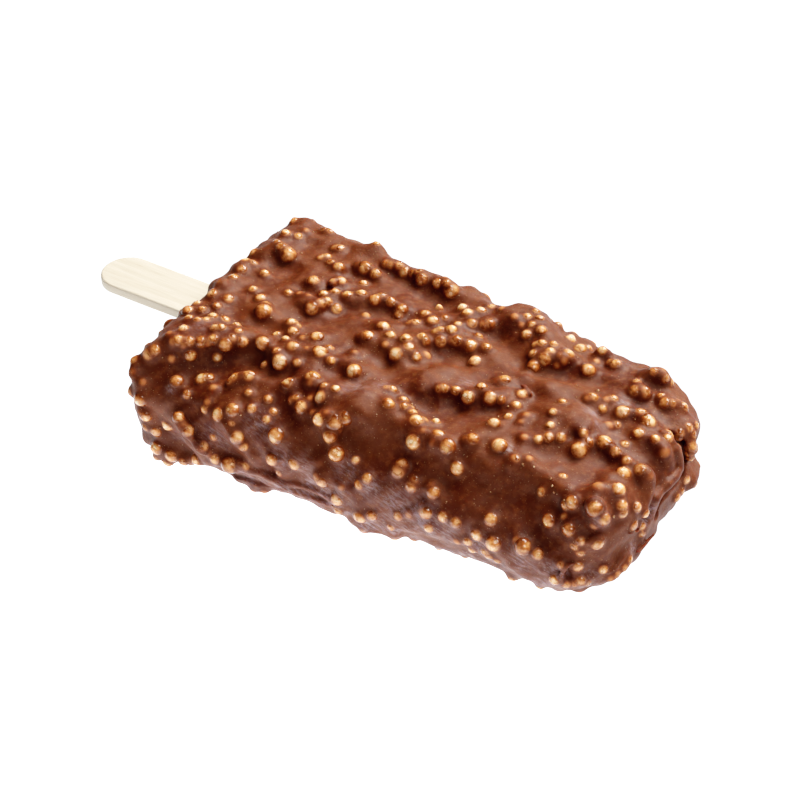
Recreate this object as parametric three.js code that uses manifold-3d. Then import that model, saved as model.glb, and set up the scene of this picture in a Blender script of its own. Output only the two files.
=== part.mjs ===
// Chocolate-coated ice cream bar on a flat wooden stick, lying on its back face.
// Millimetres. +X runs along the bar from the stick to the tip, +Y across it, +Z up.
// Construction frame: x = 0 at the bar's stick end, y = 0 on its centre line and
// z = 0 on its underside. The finished group is moved so that its origin is the
// middle of the underside of the whole, stick included.
import * as THREE from 'three';
import { mergeVertices } from 'three/addons/utils/BufferGeometryUtils.js';
import Module from 'manifold-3d';

const wasm = await Module();
wasm.setup();

// ---- driving sizes -------------------------------------------------------
const BAR_LENGTH = 90.5;
const BAR_WIDTH_STICK_END = 54.6;   // the slab tapers in plan towards its tip
const BAR_WIDTH_TIP = 43.8;
const BAR_THICK_STICK_END = 23.5;   // and it thins a little too
const BAR_THICK_TIP = 20.4;
const CORNER_STICK_END = 4.6;       // plan corner radius at the stick end
const CORNER_TIP = 11.4;            // plan corner radius at the rounded tip
const EDGE_ROUND = 6.0;             // rounding of the long edges, top and bottom
const FOOT_FLAT = 3.0;              // the relief fades out over this height

const STICK_LENGTH = 93.0;          // a standard flat ice cream stick
const STICK_WIDTH = 10.0;
const STICK_THICK = 2.0;
const STICK_EDGE = 0.25;            // broken edge all round
const STICK_SHOWS = 25.8;           // length that stands out of the bar
const STICK_Y = 1.75;               // where it enters the end face
const STICK_Z = 13.3;
const STICK_GAP = 0.3;              // clearance in its slot

const SEG_X = 42, SEG_Y = 25, SEG_Z = 11;   // facets along the slab

// ---- the slab ------------------------------------------------------------
const lerp = (a, b, t) => a + (b - a) * t;
const clamp01 = (t) => Math.min(1, Math.max(0, t));
const along = (x) => clamp01(x / BAR_LENGTH);
const widthAt = (x) => lerp(BAR_WIDTH_STICK_END, BAR_WIDTH_TIP, along(x));
const thickAt = (x) => lerp(BAR_THICK_STICK_END, BAR_THICK_TIP, along(x));

// signed distance to the smooth slab: a tapered plan with round corners, with
// both its long edges rounded over
function slab(x, y, z) {
  const r = x < BAR_LENGTH / 2 ? CORNER_STICK_END : CORNER_TIP;
  const qx = Math.abs(x - BAR_LENGTH / 2) - BAR_LENGTH / 2 + r;
  const qy = Math.abs(y) - widthAt(x) / 2 + r;
  const plan = Math.hypot(Math.max(qx, 0), Math.max(qy, 0)) + Math.min(Math.max(qx, qy), 0) - r;
  const half = thickAt(x) / 2;
  const wx = plan + EDGE_ROUND;
  const wz = Math.abs(z - half) - half + EDGE_ROUND;
  return Math.min(Math.max(wx, wz), 0) + Math.hypot(Math.max(wx, 0), Math.max(wz, 0)) - EDGE_ROUND;
}

function slabNormal(p) {
  const h = 0.02;
  return new THREE.Vector3(
    slab(p.x + h, p.y, p.z) - slab(p.x - h, p.y, p.z),
    slab(p.x, p.y + h, p.z) - slab(p.x, p.y - h, p.z),
    slab(p.x, p.y, p.z + h) - slab(p.x, p.y, p.z - h),
  ).normalize();
}

// ---- the coating's relief ------------------------------------------------
// Hollows and ridges where the coating ran and set: the two ends of each one's
// spine, how far it spreads and how high it stands (negative for a hollow).
const RELIEF = [
  { name: 'hollow by the stick corner', from: [14.8, -21.9, 22.9], to: [20.2, -16.7, 22.9], spread: 2.6, high: -1.7 },
  { name: 'valley across the top', from: [25.5, 3.2, 22.7], to: [34.8, 8.0, 22.4], spread: 2.2, high: -0.9 },
  { name: 'dip near the stick', from: [16.3, -7.7, 23.0], to: [18.1, -7.9, 22.9], spread: 1.8, high: -0.9 },
  { name: 'dip behind the ridge', from: [45.9, 1.3, 22.0], to: [50.6, 3.4, 21.8], spread: 2.0, high: -0.8 },
  { name: 'crease by the far lump', from: [52.7, 12.8, 21.7], to: [58.5, 8.3, 21.5], spread: 1.6, high: -1.0 },
  { name: 'hollow at mid top', from: [52.2, -10.7, 21.8], to: [58.6, -10.4, 21.5], spread: 2.9, high: -1.2 },
  { name: 'valley below the dome', from: [72.4, -10.0, 21.0], to: [81.7, -5.3, 20.7], spread: 2.2, high: -1.0 },
  { name: 'sunk near edge', from: [57.1, -22.1, 19.9], to: [76.3, -20.3, 19.7], spread: 4.5, high: -1.6 },
  { name: 'hollow beside the run', from: [45.7, -23.5, 19.7], to: [51.2, -22.2, 20.3], spread: 3.4, high: -1.1 },
  { name: 'pocket at the near tip corner', from: [85.2, -18.9, 18.3], to: [86.0, -18.4, 18.0], spread: 2.2, high: -1.6 },
  { name: 'dip low on the near side', from: [8.8, -26.8, 7.8], to: [10.0, -26.7, 7.1], spread: 2.5, high: -1.0 },
  { name: 'mound near the stick', from: [8.6, -14.8, 23.3], to: [17.3, -15.4, 23.0], spread: 3.0, high: 0.8 },
  { name: 'small mound', from: [22.5, -13.3, 22.8], to: [26.9, -15.5, 22.6], spread: 1.8, high: 0.6 },
  { name: 'mound at mid top', from: [37.5, -0.6, 22.3], to: [41.4, 1.2, 22.1], spread: 2.5, high: 0.8 },
  { name: 'ridge at mid top', from: [41.7, 3.1, 22.1], to: [49.2, 9.8, 21.9], spread: 2.0, high: 0.7 },
  { name: 'far lump', from: [54.6, 16.1, 21.7], to: [56.1, 18.4, 21.6], spread: 4.0, high: 1.4 },
  { name: 'dome', from: [73.2, -2.6, 21.0], to: [75.4, -1.8, 20.9], spread: 4.5, high: 0.9 },
  { name: 'run down the near side', from: [38.6, -22.4, 21.1], to: [41.0, -24.6, 15.6], spread: 2.3, high: 0.7 },
  { name: 'first slanting fold', from: [11.2, -26.7, 11.4], to: [17.6, -26.3, 6.1], spread: 2.0, high: 0.8 },
  { name: 'second slanting fold', from: [20.7, -26.1, 15.1], to: [26.9, -25.7, 10.7], spread: 2.0, high: 0.8 },
  { name: 'rolled lip at the foot', from: [22.6, -26.0, 5.4], to: [41.3, -24.9, 6.6], spread: 1.6, high: 0.8 },
  { name: 'lobe over the tip, upper', from: [87.7, 4.6, 19.6], to: [90.5, 4.0, 15.2], spread: 2.5, high: 0.8 },
  { name: 'lobe over the tip, lower', from: [90.5, 4.0, 15.2], to: [90.5, -6.1, 11.8], spread: 2.5, high: 0.8 },
  { name: 'fold behind the lobe', from: [89.4, 9.4, 17.9], to: [90.5, 9.2, 11.8], spread: 2.2, high: -0.8 },
];

function spineDistance(p, from, to) {
  const a = new THREE.Vector3(...from);
  const line = new THREE.Vector3(...to).sub(a);
  const t = clamp01(p.clone().sub(a).dot(line) / line.lengthSq());
  return p.distanceTo(a.addScaledVector(line, t));
}

// slow undulation of the coating all round, where nothing else shapes it
function undulation(x, y, z) {
  return 0.34 * Math.sin(0.29 * x + 0.16 * y + 1.3) * Math.sin(0.24 * y - 0.12 * x + 0.33 * z + 0.4)
    + 0.20 * Math.sin(0.57 * x - 0.43 * y + 0.46 * z + 2.1) * Math.sin(0.51 * y + 0.38 * x + 0.62 * z + 0.9)
    + 0.12 * Math.sin(1.02 * x + 0.71 * y - 0.83 * z + 0.7) * Math.sin(0.94 * y - 0.66 * x + 0.97 * z + 1.9);
}

function relief(p) {
  let high = undulation(p.x, p.y, p.z);
  for (const f of RELIEF) {
    const d = spineDistance(p, f.from, f.to) / f.spread;
    if (d < 3) high += f.high * Math.exp(-d * d);
  }
  // the underside is flat where it set on its tray
  return high * THREE.MathUtils.smoothstep(p.z, 0, FOOT_FLAT);
}

function slabGeometry() {
  const g = new THREE.BoxGeometry(1, 1, 1, SEG_X, SEG_Y, SEG_Z);
  g.deleteAttribute('normal');
  g.deleteAttribute('uv');
  const merged = mergeVertices(g, 1e-5);
  const pos = merged.attributes.position;
  const p = new THREE.Vector3();
  for (let i = 0; i < pos.count; i++) {
    p.fromBufferAttribute(pos, i);
    const x = (p.x + 0.5) * BAR_LENGTH;
    p.set(x, p.y * widthAt(x), (p.z + 0.5) * thickAt(x));
    for (let k = 0; k < 8; k++) p.addScaledVector(slabNormal(p), -slab(p.x, p.y, p.z));
    const n = slabNormal(p);
    p.addScaledVector(n, relief(p));
    pos.setXYZ(i, p.x, p.y, Math.abs(p.z) < 1e-3 ? 0 : p.z);
  }
  return merged;
}

// ---- the stick -----------------------------------------------------------
// a flat strip with full round ends, along +X from its outer end at x = 0
function stripGeometry(length, width, thick, edge, roundSegments) {
  const r = width / 2 - edge;
  const outline = new THREE.Shape();
  outline.absarc(length - width / 2, 0, r, -Math.PI / 2, Math.PI / 2, false);
  outline.absarc(width / 2, 0, r, Math.PI / 2, Math.PI * 1.5, false);
  outline.closePath();
  const g = new THREE.ExtrudeGeometry(outline, {
    depth: thick - 2 * edge,
    curveSegments: roundSegments,
    bevelEnabled: edge > 0,
    bevelThickness: edge,
    bevelSize: edge,
    bevelSegments: 1,
  });
  g.translate(0, 0, edge - thick / 2);
  return g;
}

// ---- joining and cutting -------------------------------------------------
function toSolid(geometry) {
  const g = geometry.clone();
  g.deleteAttribute('normal');
  g.deleteAttribute('uv');
  const m = mergeVertices(g, 1e-4);
  const index = m.index ? m.index.array : Uint32Array.from({ length: m.attributes.position.count }, (_, i) => i);
  return new wasm.Manifold(new wasm.Mesh({
    numProp: 3,
    vertProperties: new Float32Array(m.attributes.position.array),
    triVerts: new Uint32Array(index),
  }));
}

function toGeometry(solid) {
  const mesh = solid.getMesh();
  const g = new THREE.BufferGeometry();
  g.setAttribute('position', new THREE.BufferAttribute(new Float32Array(mesh.vertProperties), 3));
  g.setIndex(new THREE.BufferAttribute(new Uint32Array(mesh.triVerts), 1));
  g.computeVertexNormals();
  return g;
}

// the slot that the stick's inner end sits in, open at the stick end only
const slot = stripGeometry(STICK_LENGTH + 2 * STICK_GAP, STICK_WIDTH + 2 * STICK_GAP, STICK_THICK + 2 * STICK_GAP, 0, 8);
slot.translate(-STICK_SHOWS - STICK_GAP, STICK_Y, STICK_Z);

const barGeometry = toGeometry(toSolid(slabGeometry()).subtract(toSolid(slot)));

const stickGeometry = stripGeometry(STICK_LENGTH, STICK_WIDTH, STICK_THICK, STICK_EDGE, 8);

// ---- the scene graph -----------------------------------------------------
const coating = new THREE.MeshStandardMaterial({ color: new THREE.Color(0.42, 0.23, 0.14), roughness: 0.45, metalness: 0 });
const birch = new THREE.MeshStandardMaterial({ color: new THREE.Color(0.93, 0.88, 0.78), roughness: 0.7, metalness: 0 });

const bar = new THREE.Mesh(barGeometry, coating);
bar.name = 'coated_bar';

const stick = new THREE.Mesh(stickGeometry, birch);
stick.name = 'stick';
stick.position.set(-STICK_SHOWS, STICK_Y, STICK_Z);

const group = new THREE.Group();
group.add(bar, stick);

// origin: middle of the underside of the whole
group.updateMatrixWorld(true);
const box = new THREE.Box3().setFromObject(group, true);
group.position.set(-(box.min.x + box.max.x) / 2, -(box.min.y + box.max.y) / 2, -box.min.z);
group.updateMatrixWorld(true);

export default group;
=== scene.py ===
"""Looks of the ice cream bar: a milk chocolate coat over puffed cereal balls, on a flat wooden stick.

All sculpting is done in the bar's own millimetres: x from the stick end (0) to the tip (90.5),
y across, z up from the face it lies on. One signed distance field holds the slab, the hollows and
mounds of the coat, its folds and gaps, and every cereal ball under its film of chocolate. The coat
is that field's surface. The cereal balls are real balls in one joined mesh, poking out of the coat.
"""
import math

import bpy
import numpy as np
from mathutils import Matrix, Vector


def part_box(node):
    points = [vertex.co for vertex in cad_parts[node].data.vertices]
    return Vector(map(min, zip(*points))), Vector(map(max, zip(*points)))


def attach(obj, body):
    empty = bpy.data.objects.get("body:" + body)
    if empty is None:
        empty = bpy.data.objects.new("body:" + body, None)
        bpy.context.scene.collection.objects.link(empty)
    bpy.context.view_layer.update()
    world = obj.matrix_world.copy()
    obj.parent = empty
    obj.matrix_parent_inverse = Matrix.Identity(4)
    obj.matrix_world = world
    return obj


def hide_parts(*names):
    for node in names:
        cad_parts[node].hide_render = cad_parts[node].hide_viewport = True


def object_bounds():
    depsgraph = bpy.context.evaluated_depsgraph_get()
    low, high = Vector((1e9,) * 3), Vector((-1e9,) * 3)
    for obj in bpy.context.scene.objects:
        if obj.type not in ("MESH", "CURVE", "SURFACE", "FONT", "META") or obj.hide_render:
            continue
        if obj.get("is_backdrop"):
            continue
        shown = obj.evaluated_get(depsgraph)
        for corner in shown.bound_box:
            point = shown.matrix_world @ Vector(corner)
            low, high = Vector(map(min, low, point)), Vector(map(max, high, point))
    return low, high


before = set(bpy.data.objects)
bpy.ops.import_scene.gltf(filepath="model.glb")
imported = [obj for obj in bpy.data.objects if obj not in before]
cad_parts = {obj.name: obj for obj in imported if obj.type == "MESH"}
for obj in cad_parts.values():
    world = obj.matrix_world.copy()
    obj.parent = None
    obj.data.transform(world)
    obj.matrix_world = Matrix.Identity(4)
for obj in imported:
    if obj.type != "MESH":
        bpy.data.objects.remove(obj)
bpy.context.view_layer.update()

F32 = np.float32

# ------------------------------------------------------------------ sizes, mm
LENGTH = 90.5
WIDTH_STICK_END, WIDTH_TIP = 54.6, 43.8
THICK_STICK_END, THICK_TIP = 23.5, 20.4
CORNER_STICK_END, CORNER_TIP = 4.6, 11.4
EDGE_ROUND = 6.0
STICK_SHOWS, STICK_Y, STICK_Z, STICK_WIDTH, STICK_THICK = 25.8, 1.75, 13.3, 10.0, 2.0
INSET = 0.35       # the bare coat lies this far inside the slab, and the balls bring it back out
VOXEL = 0.28
COAT_TRIANGLES = 196000
FILM_SIDE = 0.16   # chocolate on a ball's sides; its top is all but bare
BASE_FILM = 0.09   # chocolate that has run to the foot of a ball

stick_low, stick_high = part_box("stick")
OFFSET = np.array([
    stick_low[0] * 1000 + STICK_SHOWS,
    (stick_low[1] + stick_high[1]) * 500 - STICK_Y,
    0.0,
])

# ------------------------------------------------------------------ what the coat shows, mm
SHOULDER = [  # x, then how far from the middle the top's near edge starts to slope, and the height it slopes to
    (0, 25.5, 21.5), (5, 23.5, 20.0), (10, 19.5, 18.5), (18, 15.5, 17.8), (26, 14.5, 17.2), (36, 19.0, 15.5), (45, 19.5, 12.0),
    (55, 18.0, 12.3), (65, 14.0, 12.3), (75, 13.0, 11.3), (82, 16.5, 11.5), (87, 17.5, 13.0), (90.5, 18.5, 15.5),
]
GENTLE = [  # spine points, spread, height: soft mounds (+) and hollows (-)
    ([(25.5, 3.2, 22.7), (34.8, 8.0, 22.4)], 2.2, -1.69),
    ([(15.6, -7.5, 23.0), (18.3, -7.8, 22.9)], 1.8, -1.89),
    ([(12.9, -21.0, 21.3), (16.6, -18.5, 21.5), (19.5, -15.6, 22.1)], 2.5, -3.58),
    ([(24.0, -16.2, 21.6), (27.0, -15.8, 21.6)], 1.6, -1.51),
    ([(45.9, 1.3, 22.0), (50.6, 3.4, 21.8)], 2.0, -1.69),
    ([(44.4, -2.3, 22.0), (45.8, -2.1, 22.0)], 1.2, -1.13),
    ([(52.3, 12.1, 21.8), (55.1, 10.3, 21.7), (58.8, 7.9, 21.5)], 1.6, -2.0),
    ([(63.8, 7.6, 21.3), (66.7, 9.6, 21.2)], 1.4, -1.51),
    ([(51.5, -10.2, 21.8), (53.8, -10.3, 21.7), (55.1, -7.9, 21.7)], 2.6, -3.02),
    ([(56.8, -13.7, 21.6), (58.6, -10.4, 21.5)], 2.0, -1.31),
    ([(40.0, -5.2, 22.2), (42.4, -6.9, 22.1)], 1.8, -1.31),
    ([(27.1, -0.5, 22.6), (29.1, -0.5, 22.6)], 1.2, -0.94),
    ([(20.8, -2.3, 22.9), (23.7, -1.1, 22.8)], 1.4, -1.31),
    ([(30.6, 6.6, 22.5), (33.8, 8.0, 22.4)], 1.5, -1.13),
    ([(35.4, 15.4, 22.3), (38.5, 15.4, 22.2)], 2.6, -1.69),
    ([(73.3, -9.9, 21.0), (77.7, -8.0, 20.9), (82.3, -6.1, 20.7)], 2.2, -2.64),
    ([(78.6, -11.4, 20.8), (82.2, -11.3, 20.7)], 1.8, -1.69),
    ([(84.1, -18.2, 17.9), (85.7, -18.2, 17.4)], 2.3, -0.9),
    ([(79.8, -18.1, 17.3), (81.0, -18.3, 17.4)], 1.2, -1.69),
    ([(56.0, -20.3, 17.7), (63.1, -19.5, 16.5), (71.8, -18.6, 15.9)], 4.0, -1.17),
    ([(77.8, -20.7, 13.5), (79.7, -21.0, 12.9)], 2.4, -1.89),
    ([(42.4, -21.5, 18.5), (47.3, -20.9, 18.6), (52.2, -20.1, 18.9)], 3.2, -2.64),
    ([(34.9, -23.7, 16.9), (37.3, -23.7, 16.2)], 2.0, -1.51),
    ([(29.1, -22.0, 18.8), (31.5, -22.7, 18.2)], 2.4, -1.31),
    ([(8.5, -26.8, 8.1), (10.4, -26.7, 7.1)], 2.3, -1.7),
    ([(12.3, -26.6, 5.6), (13.8, -26.4, 5.0)], 1.4, -1.69),
    ([(6.1, -26.2, 19.0), (7.9, -26.5, 17.8)], 2.0, -1.51),
    ([(8.9, -23.5, 20.9), (11.3, -23.2, 20.4)], 1.8, -1.31),
    ([(9.4, -6.2, 23.3), (12.4, -9.0, 23.1)], 2.0, -0.94),
    ([(21.8, -11.4, 22.6), (21.2, -9.1, 22.8)], 1.0, -0.94),
    ([(8.3, -14.4, 23.3), (16.7, -14.5, 22.6)], 3.0, 1.14),
    ([(21.9, -12.5, 22.5), (25.1, -13.6, 22.1)], 1.8, 1.14),
    ([(23.7, -10.3, 22.7), (25.4, -10.4, 22.6)], 1.6, 0.65),
    ([(37.1, 0.1, 22.3), (41.4, 1.2, 22.1)], 2.4, 1.3),
    ([(41.8, 2.8, 22.1), (45.1, 8.4, 22.0), (49.0, 10.3, 21.9)], 2.0, 0.98),
    ([(52.5, 17.4, 21.7), (54.2, 19.0, 21.6), (57.6, 17.4, 21.6), (61.4, 14.5, 21.4)], 3.5, 2.1),
    ([(63.4, 13.6, 21.4), (67.7, 16.4, 21.2)], 1.8, 0.65),
    ([(66.9, 4.3, 21.2), (70.6, 5.5, 21.1)], 3.0, 0.81),
    ([(71.9, -1.6, 21.1), (74.3, -1.9, 21.0), (76.2, -0.6, 20.9)], 4.2, 1.87),
    ([(38.2, -20.7, 20.0), (39.8, -22.0, 18.2), (41.9, -23.0, 16.0)], 1.7, 1.79),
    ([(11.3, -26.7, 12.8), (13.9, -26.5, 9.3), (17.6, -26.3, 6.1)], 1.7, 1.62),
    ([(20.7, -26.1, 15.0), (23.3, -25.9, 12.6), (26.9, -25.7, 10.0)], 1.7, 1.46),
    ([(28.4, -25.6, 13.3), (32.7, -25.4, 10.2)], 1.6, 0.81),
    ([(35.6, -24.9, 13.9), (41.2, -24.6, 11.2)], 1.8, 0.65),
    ([(64.6, -17.4, 18.2), (67.6, -17.1, 18.0)], 2.6, 0.81),
    ([(82.4, -4.0, 20.7), (85.3, -4.1, 20.5), (87.5, -3.8, 19.7), (89.2, -4.2, 18.2), (90.2, -5.8, 16.4), (90.5, -7.6, 14.5)], 1.5, 1.46),
    ([(85.8, -0.7, 20.5), (88.2, -0.8, 19.2), (89.8, -1.2, 17.3), (90.5, -2.5, 15.3)], 1.5, -1.89),
    ([(89.4, -14.5, 16.7), (88.9, -16.2, 15.7), (87.6, -17.8, 16.3)], 2.0, -0.94),
    ([(20.7, 22.2, 22.5), (21.8, 22.4, 22.3)], 1.5, 1.3),
    ([(79.4, 16.6, 20.8), (81.4, 17.2, 20.6)], 1.9, 1.95),
    ([(81.1, 14.6, 20.7), (82.4, 15.1, 20.7)], 1.5, -1.31),
    ([(68.7, 18.2, 21.1), (70.0, 18.4, 21.0)], 1.5, 1.14),
    ([(51.9, 20.3, 21.4), (55.4, 21.9, 20.2)], 1.8, 1.3),
    ([(1.5, 5.5, 21.4), (1.4, 7.0, 21.4)], 1.6, 0.7),
    ([(2.0, -0.8, 22.0), (4.3, -1.8, 23.2)], 1.6, 0.6),
    ([(1.4, 13.7, 21.4), (3.8, 13.2, 23.0)], 1.5, 0.4),
    ([(23.6, 23.8, 21.3), (31.0, 23.4, 21.0)], 2.0, -0.94),
    ([(80.9, 9.1, 20.8), (82.7, 11.0, 20.7)], 1.6, -1.31),
    ([(86.4, 9.2, 20.3), (87.9, 8.3, 19.4)], 1.8, -1.31),
    ([(78.3, -4.0, 20.8), (78.6, -0.9, 20.8)], 1.4, -0.75),
    ([(74.3, -6.7, 21.0), (75.4, -4.7, 20.9)], 1.0, -0.94),
    ([(37.0, -14.5, 22.3), (41.2, -14.9, 22.1)], 2.8, 0.81),
    ([(41.5, -18.5, 21.6), (44.6, -14.2, 22.0)], 3.0, 0.81),
    ([(48.1, -4.0, 21.9), (50.2, -1.0, 21.8)], 3.0, 0.65),
    ([(90.5, -8.4, 8.2), (89.8, -14.4, 9.3)], 1.5, -1.13),
    ([(86.6, -17.5, 17.7), (87.9, -17.1, 16.9)], 1.3, 0.81),
    ([(62.4, 19.9, 20.9), (65.4, 18.7, 21.2), (66.9, 19.5, 20.8)], 2.2, -2.46),
    ([(83.6, 17.3, 20.2), (86.9, 16.0, 19.0)], 2.4, -1.69),
    ([(75.8, 19.4, 20.3), (73.6, 19.9, 20.2)], 2.0, -1.51),
    ([(47.2, 22.4, 20.5), (48.2, 22.4, 20.4)], 1.8, -1.31),
    ([(6.2, -20.2, 23.2), (10.8, -16.4, 23.0), (15.5, -12.8, 22.9), (20.4, -10.9, 22.8)], 2.2, 1.17),
    ([(5.2, -24.7, 21.1), (10.0, -22.8, 20.9), (15.6, -20.3, 21.0)], 3.0, -1.43),
    ([(23.2, 5.1, 22.8), (27.3, 6.8, 22.6), (31.2, 8.8, 22.5), (34.0, 9.2, 22.4)], 1.5, 0.91),
    ([(19.0, 1.0, 22.9), (22.1, 2.7, 22.8)], 1.4, 0.78),
    ([(8.4, 8.2, 23.3), (11.6, 8.1, 23.2)], 1.8, -1.43),
    ([(4.1, 10.2, 23.1), (7.4, 11.2, 23.3)], 1.8, 0.65),
    ([(21.5, 13.3, 22.8), (24.5, 13.1, 22.7)], 1.6, -1.3),
    ([(28.9, 17.5, 22.6), (34.8, 16.4, 22.4), (40.3, 15.8, 22.2)], 2.4, -1.82),
    ([(26.3, 20.1, 22.7), (31.6, 20.0, 22.4), (37.0, 19.7, 22.3)], 1.6, 1.04),
    ([(48.3, 10.8, 21.9), (51.7, 11.8, 21.8)], 2.0, -1.43),
    ([(43.9, 1.3, 22.0), (47.1, 2.7, 21.9), (50.2, 4.1, 21.8)], 2.0, -1.3),
    ([(34.4, -12.1, 22.4), (38.5, -13.8, 22.2)], 2.2, -1.17),
    ([(34.1, -8.5, 22.4), (37.8, -8.0, 22.3)], 2.0, 0.65),
    ([(49.5, -7.9, 21.9), (54.6, -5.1, 21.7), (60.4, -1.9, 21.5)], 2.0, 1.17),
    ([(58.1, -7.8, 21.5), (61.7, -5.9, 21.4)], 2.0, -1.56),
    ([(62.7, 7.8, 21.4), (67.0, 8.8, 21.2)], 1.8, -1.43),
    ([(69.1, 10.2, 21.2), (71.8, 10.0, 21.1)], 1.6, -1.3),
    ([(62.1, 10.7, 21.4), (66.9, 12.6, 21.2)], 2.0, 0.65),
    ([(63.2, 15.7, 21.4), (67.0, 15.9, 21.2), (69.7, 16.4, 21.1)], 2.0, -1.3),
    ([(77.7, 2.2, 20.9), (82.5, 0.2, 20.7), (86.6, -2.4, 20.2)], 2.6, -2.08),
    ([(82.7, -5.5, 20.7), (86.9, -6.5, 20.1)], 2.0, -1.17),
    ([(77.4, -12.4, 20.6), (82.6, -12.2, 20.7)], 2.2, -0.91),
    ([(40.1, 22.9, 20.7), (41.8, 22.7, 20.7)], 1.6, 0.81),
    ([(87.0, 2.4, 20.0), (89.2, 2.6, 18.3), (90.2, 2.3, 16.4), (90.5, 0.8, 15.0), (90.5, -2.9, 15.2)], 2.0, 0.9),
    ([(85.5, 8.6, 20.5), (87.9, 9.1, 19.5), (89.7, 8.8, 17.5)], 2.2, -1.5),
]
FOOT = [  # as above, at the edge it stands on
    ([(55.8, -23.1, 2.9), (61.7, -23.2, 3.7), (67.0, -22.6, 3.2), (70.8, -22.6, 3.8)], 2.4, -1.59),
    ([(85.1, -18.3, 1.7), (86.3, -17.3, 1.8)], 1.6, -1.3),
    ([(45.1, -23.0, 1.9), (46.7, -22.9, 1.9), (48.4, -22.8, 1.9)], 1.5, 1.38),
    ([(6.5, -25.3, 1.9), (8.2, -25.2, 1.9)], 1.6, 2.25),
    ([(11.3, -25.9, 3.0), (14.7, -26.2, 4.3)], 1.4, 0.75),
    ([(22.3, -24.3, 1.8), (25.7, -24.2, 1.9)], 1.5, 0.75),
    ([(50.5, -22.7, 1.9), (52.9, -23.1, 2.6)], 1.4, 0.75),
    ([(90.5, 11.3, 6.4), (89.8, 14.5, 5.9)], 1.8, 1.88),
    ([(1.7, -26.2, 6.1), (4.1, -27.0, 5.0)], 1.6, -1.16),
]
RIBS = [  # spine points, radius, blend: folds, lips and curls of chocolate
    ([(86.9, 5.2, 19.5), (88.5, 4.7, 19.0), (89.7, 4.2, 17.9), (90.4, 4.6, 15.9), (90.7, 4.4, 14.2), (91.1, 1.9, 14.3), (91.0, -0.5, 14.5), (90.4, -1.8, 13.9), (90.6, -4.1, 14.0), (90.0, -3.6, 11.4), (90.1, -4.9, 10.3), (90.1, -6.2, 9.1), (89.8, -6.5, 7.2)], 0.95, 0.5),  # lobe over the tip
    ([(19.3, -26.3, 5.8), (21.9, -25.8, 6.1), (24.8, -25.5, 6.5), (28.1, -25.8, 7.1), (30.7, -25.3, 6.3), (32.8, -24.9, 5.3), (35.0, -24.6, 5.0), (38.0, -24.5, 5.0), (40.7, -24.7, 5.1)], 0.62, 0.7),  # fold at the foot
    ([(32.0, -24.9, 6.2), (34.8, -24.8, 6.9), (37.4, -24.5, 7.0), (40.0, -24.7, 7.0), (41.9, -24.9, 6.5)], 0.45, 0.6),  # second fold
    ([(12.4, -27.9, 14.3), (13.9, -27.9, 12.1), (15.8, -27.9, 10.3), (17.6, -27.7, 8.4)], 0.5, 0.9),  # slanting fold
    ([(21.7, -26.8, 15.9), (23.1, -26.7, 14.4), (24.9, -26.5, 12.1)], 0.45, 0.9),  # slanting fold two
    ([(83.3, -21.9, 6.2), (83.2, -21.8, 7.4), (83.5, -21.7, 8.6), (83.9, -21.4, 9.6), (84.5, -20.8, 10.1)], 0.32, 0.3),  # curl by the foot
    ([(84.5, -17.0, 19.6), (84.6, -16.6, 20.1), (85.0, -16.1, 20.4), (85.6, -15.6, 20.3), (86.3, -15.5, 20.1), (87.1, -15.9, 19.7)], 0.26, 0.3),  # curl round a puff
    ([(86.4, -19.1, 14.2), (86.7, -18.4, 14.7), (87.3, -17.8, 14.8), (88.0, -17.4, 14.6)], 0.24, 0.3),  # small curl
    ([(90.8, -2.7, 5.5), (90.5, -4.2, 5.1), (90.8, -7.5, 6.0), (90.7, -9.9, 6.3)], 0.26, 0.35),  # thin lip low on the tip
    ([(89.9, -6.9, 6.5), (89.6, -9.7, 7.2), (89.8, -12.6, 7.6), (89.6, -14.5, 6.9), (88.9, -16.3, 6.4)], 0.28, 0.35),  # thin lip two
    ([(90.5, -8.9, 11.4), (90.4, -9.8, 11.0), (90.3, -12.2, 12.4)], 0.24, 0.3),  # lip under a puff
    ([(62.4, 1.7, 21.7), (63.1, 1.8, 21.6), (63.9, 1.4, 21.5), (64.8, 0.8, 21.4)], 0.3, 0.25),  # flake
    ([(20.6, 7.1, 23.4), (20.8, 7.9, 23.4), (20.9, 9.0, 23.4)], 0.28, 0.3),  # sliver
]
CUTS = [  # spine points, radius, blend: gaps and pockets
    ([(87.6, 7.5, 17.5), (88.6, 7.8, 16.4), (89.4, 8.6, 14.3), (89.6, 9.5, 11.3), (89.6, 8.6, 9.7), (89.7, 5.9, 10.0), (89.8, 3.1, 10.4), (89.6, 1.2, 10.0), (89.6, 0.0, 9.1), (89.5, -0.6, 7.4)], 1.1, 0.25),  # gap behind the lobe
    ([(88.4, 8.4, 16.1), (88.9, 9.3, 13.9), (89.1, 10.4, 11.3)], 1.35, 0.2),  # deep gap behind the lobe
    ([(19.2, -24.2, 2.2), (24.1, -25.5, 4.2), (27.2, -25.2, 4.0), (30.1, -24.7, 3.6), (31.7, -23.3, 2.3)], 0.55, 0.5),  # groove under the fold
    ([(83.7, -20.7, 8.1), (84.0, -20.5, 6.6)], 0.6, 0.4),  # under the foot curl
    ([(85.9, -19.2, 6.5), (86.4, -18.9, 6.4)], 0.42, 0.2),  # hole by the foot
    ([(87.0, -18.2, 6.8), (87.2, -18.0, 6.8)], 0.3, 0.15),  # hole by the foot two
    ([(36.1, 19.5, 22.9), (36.8, 20.4, 22.6)], 0.3, 0.15),  # break beside a puff
]
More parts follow.
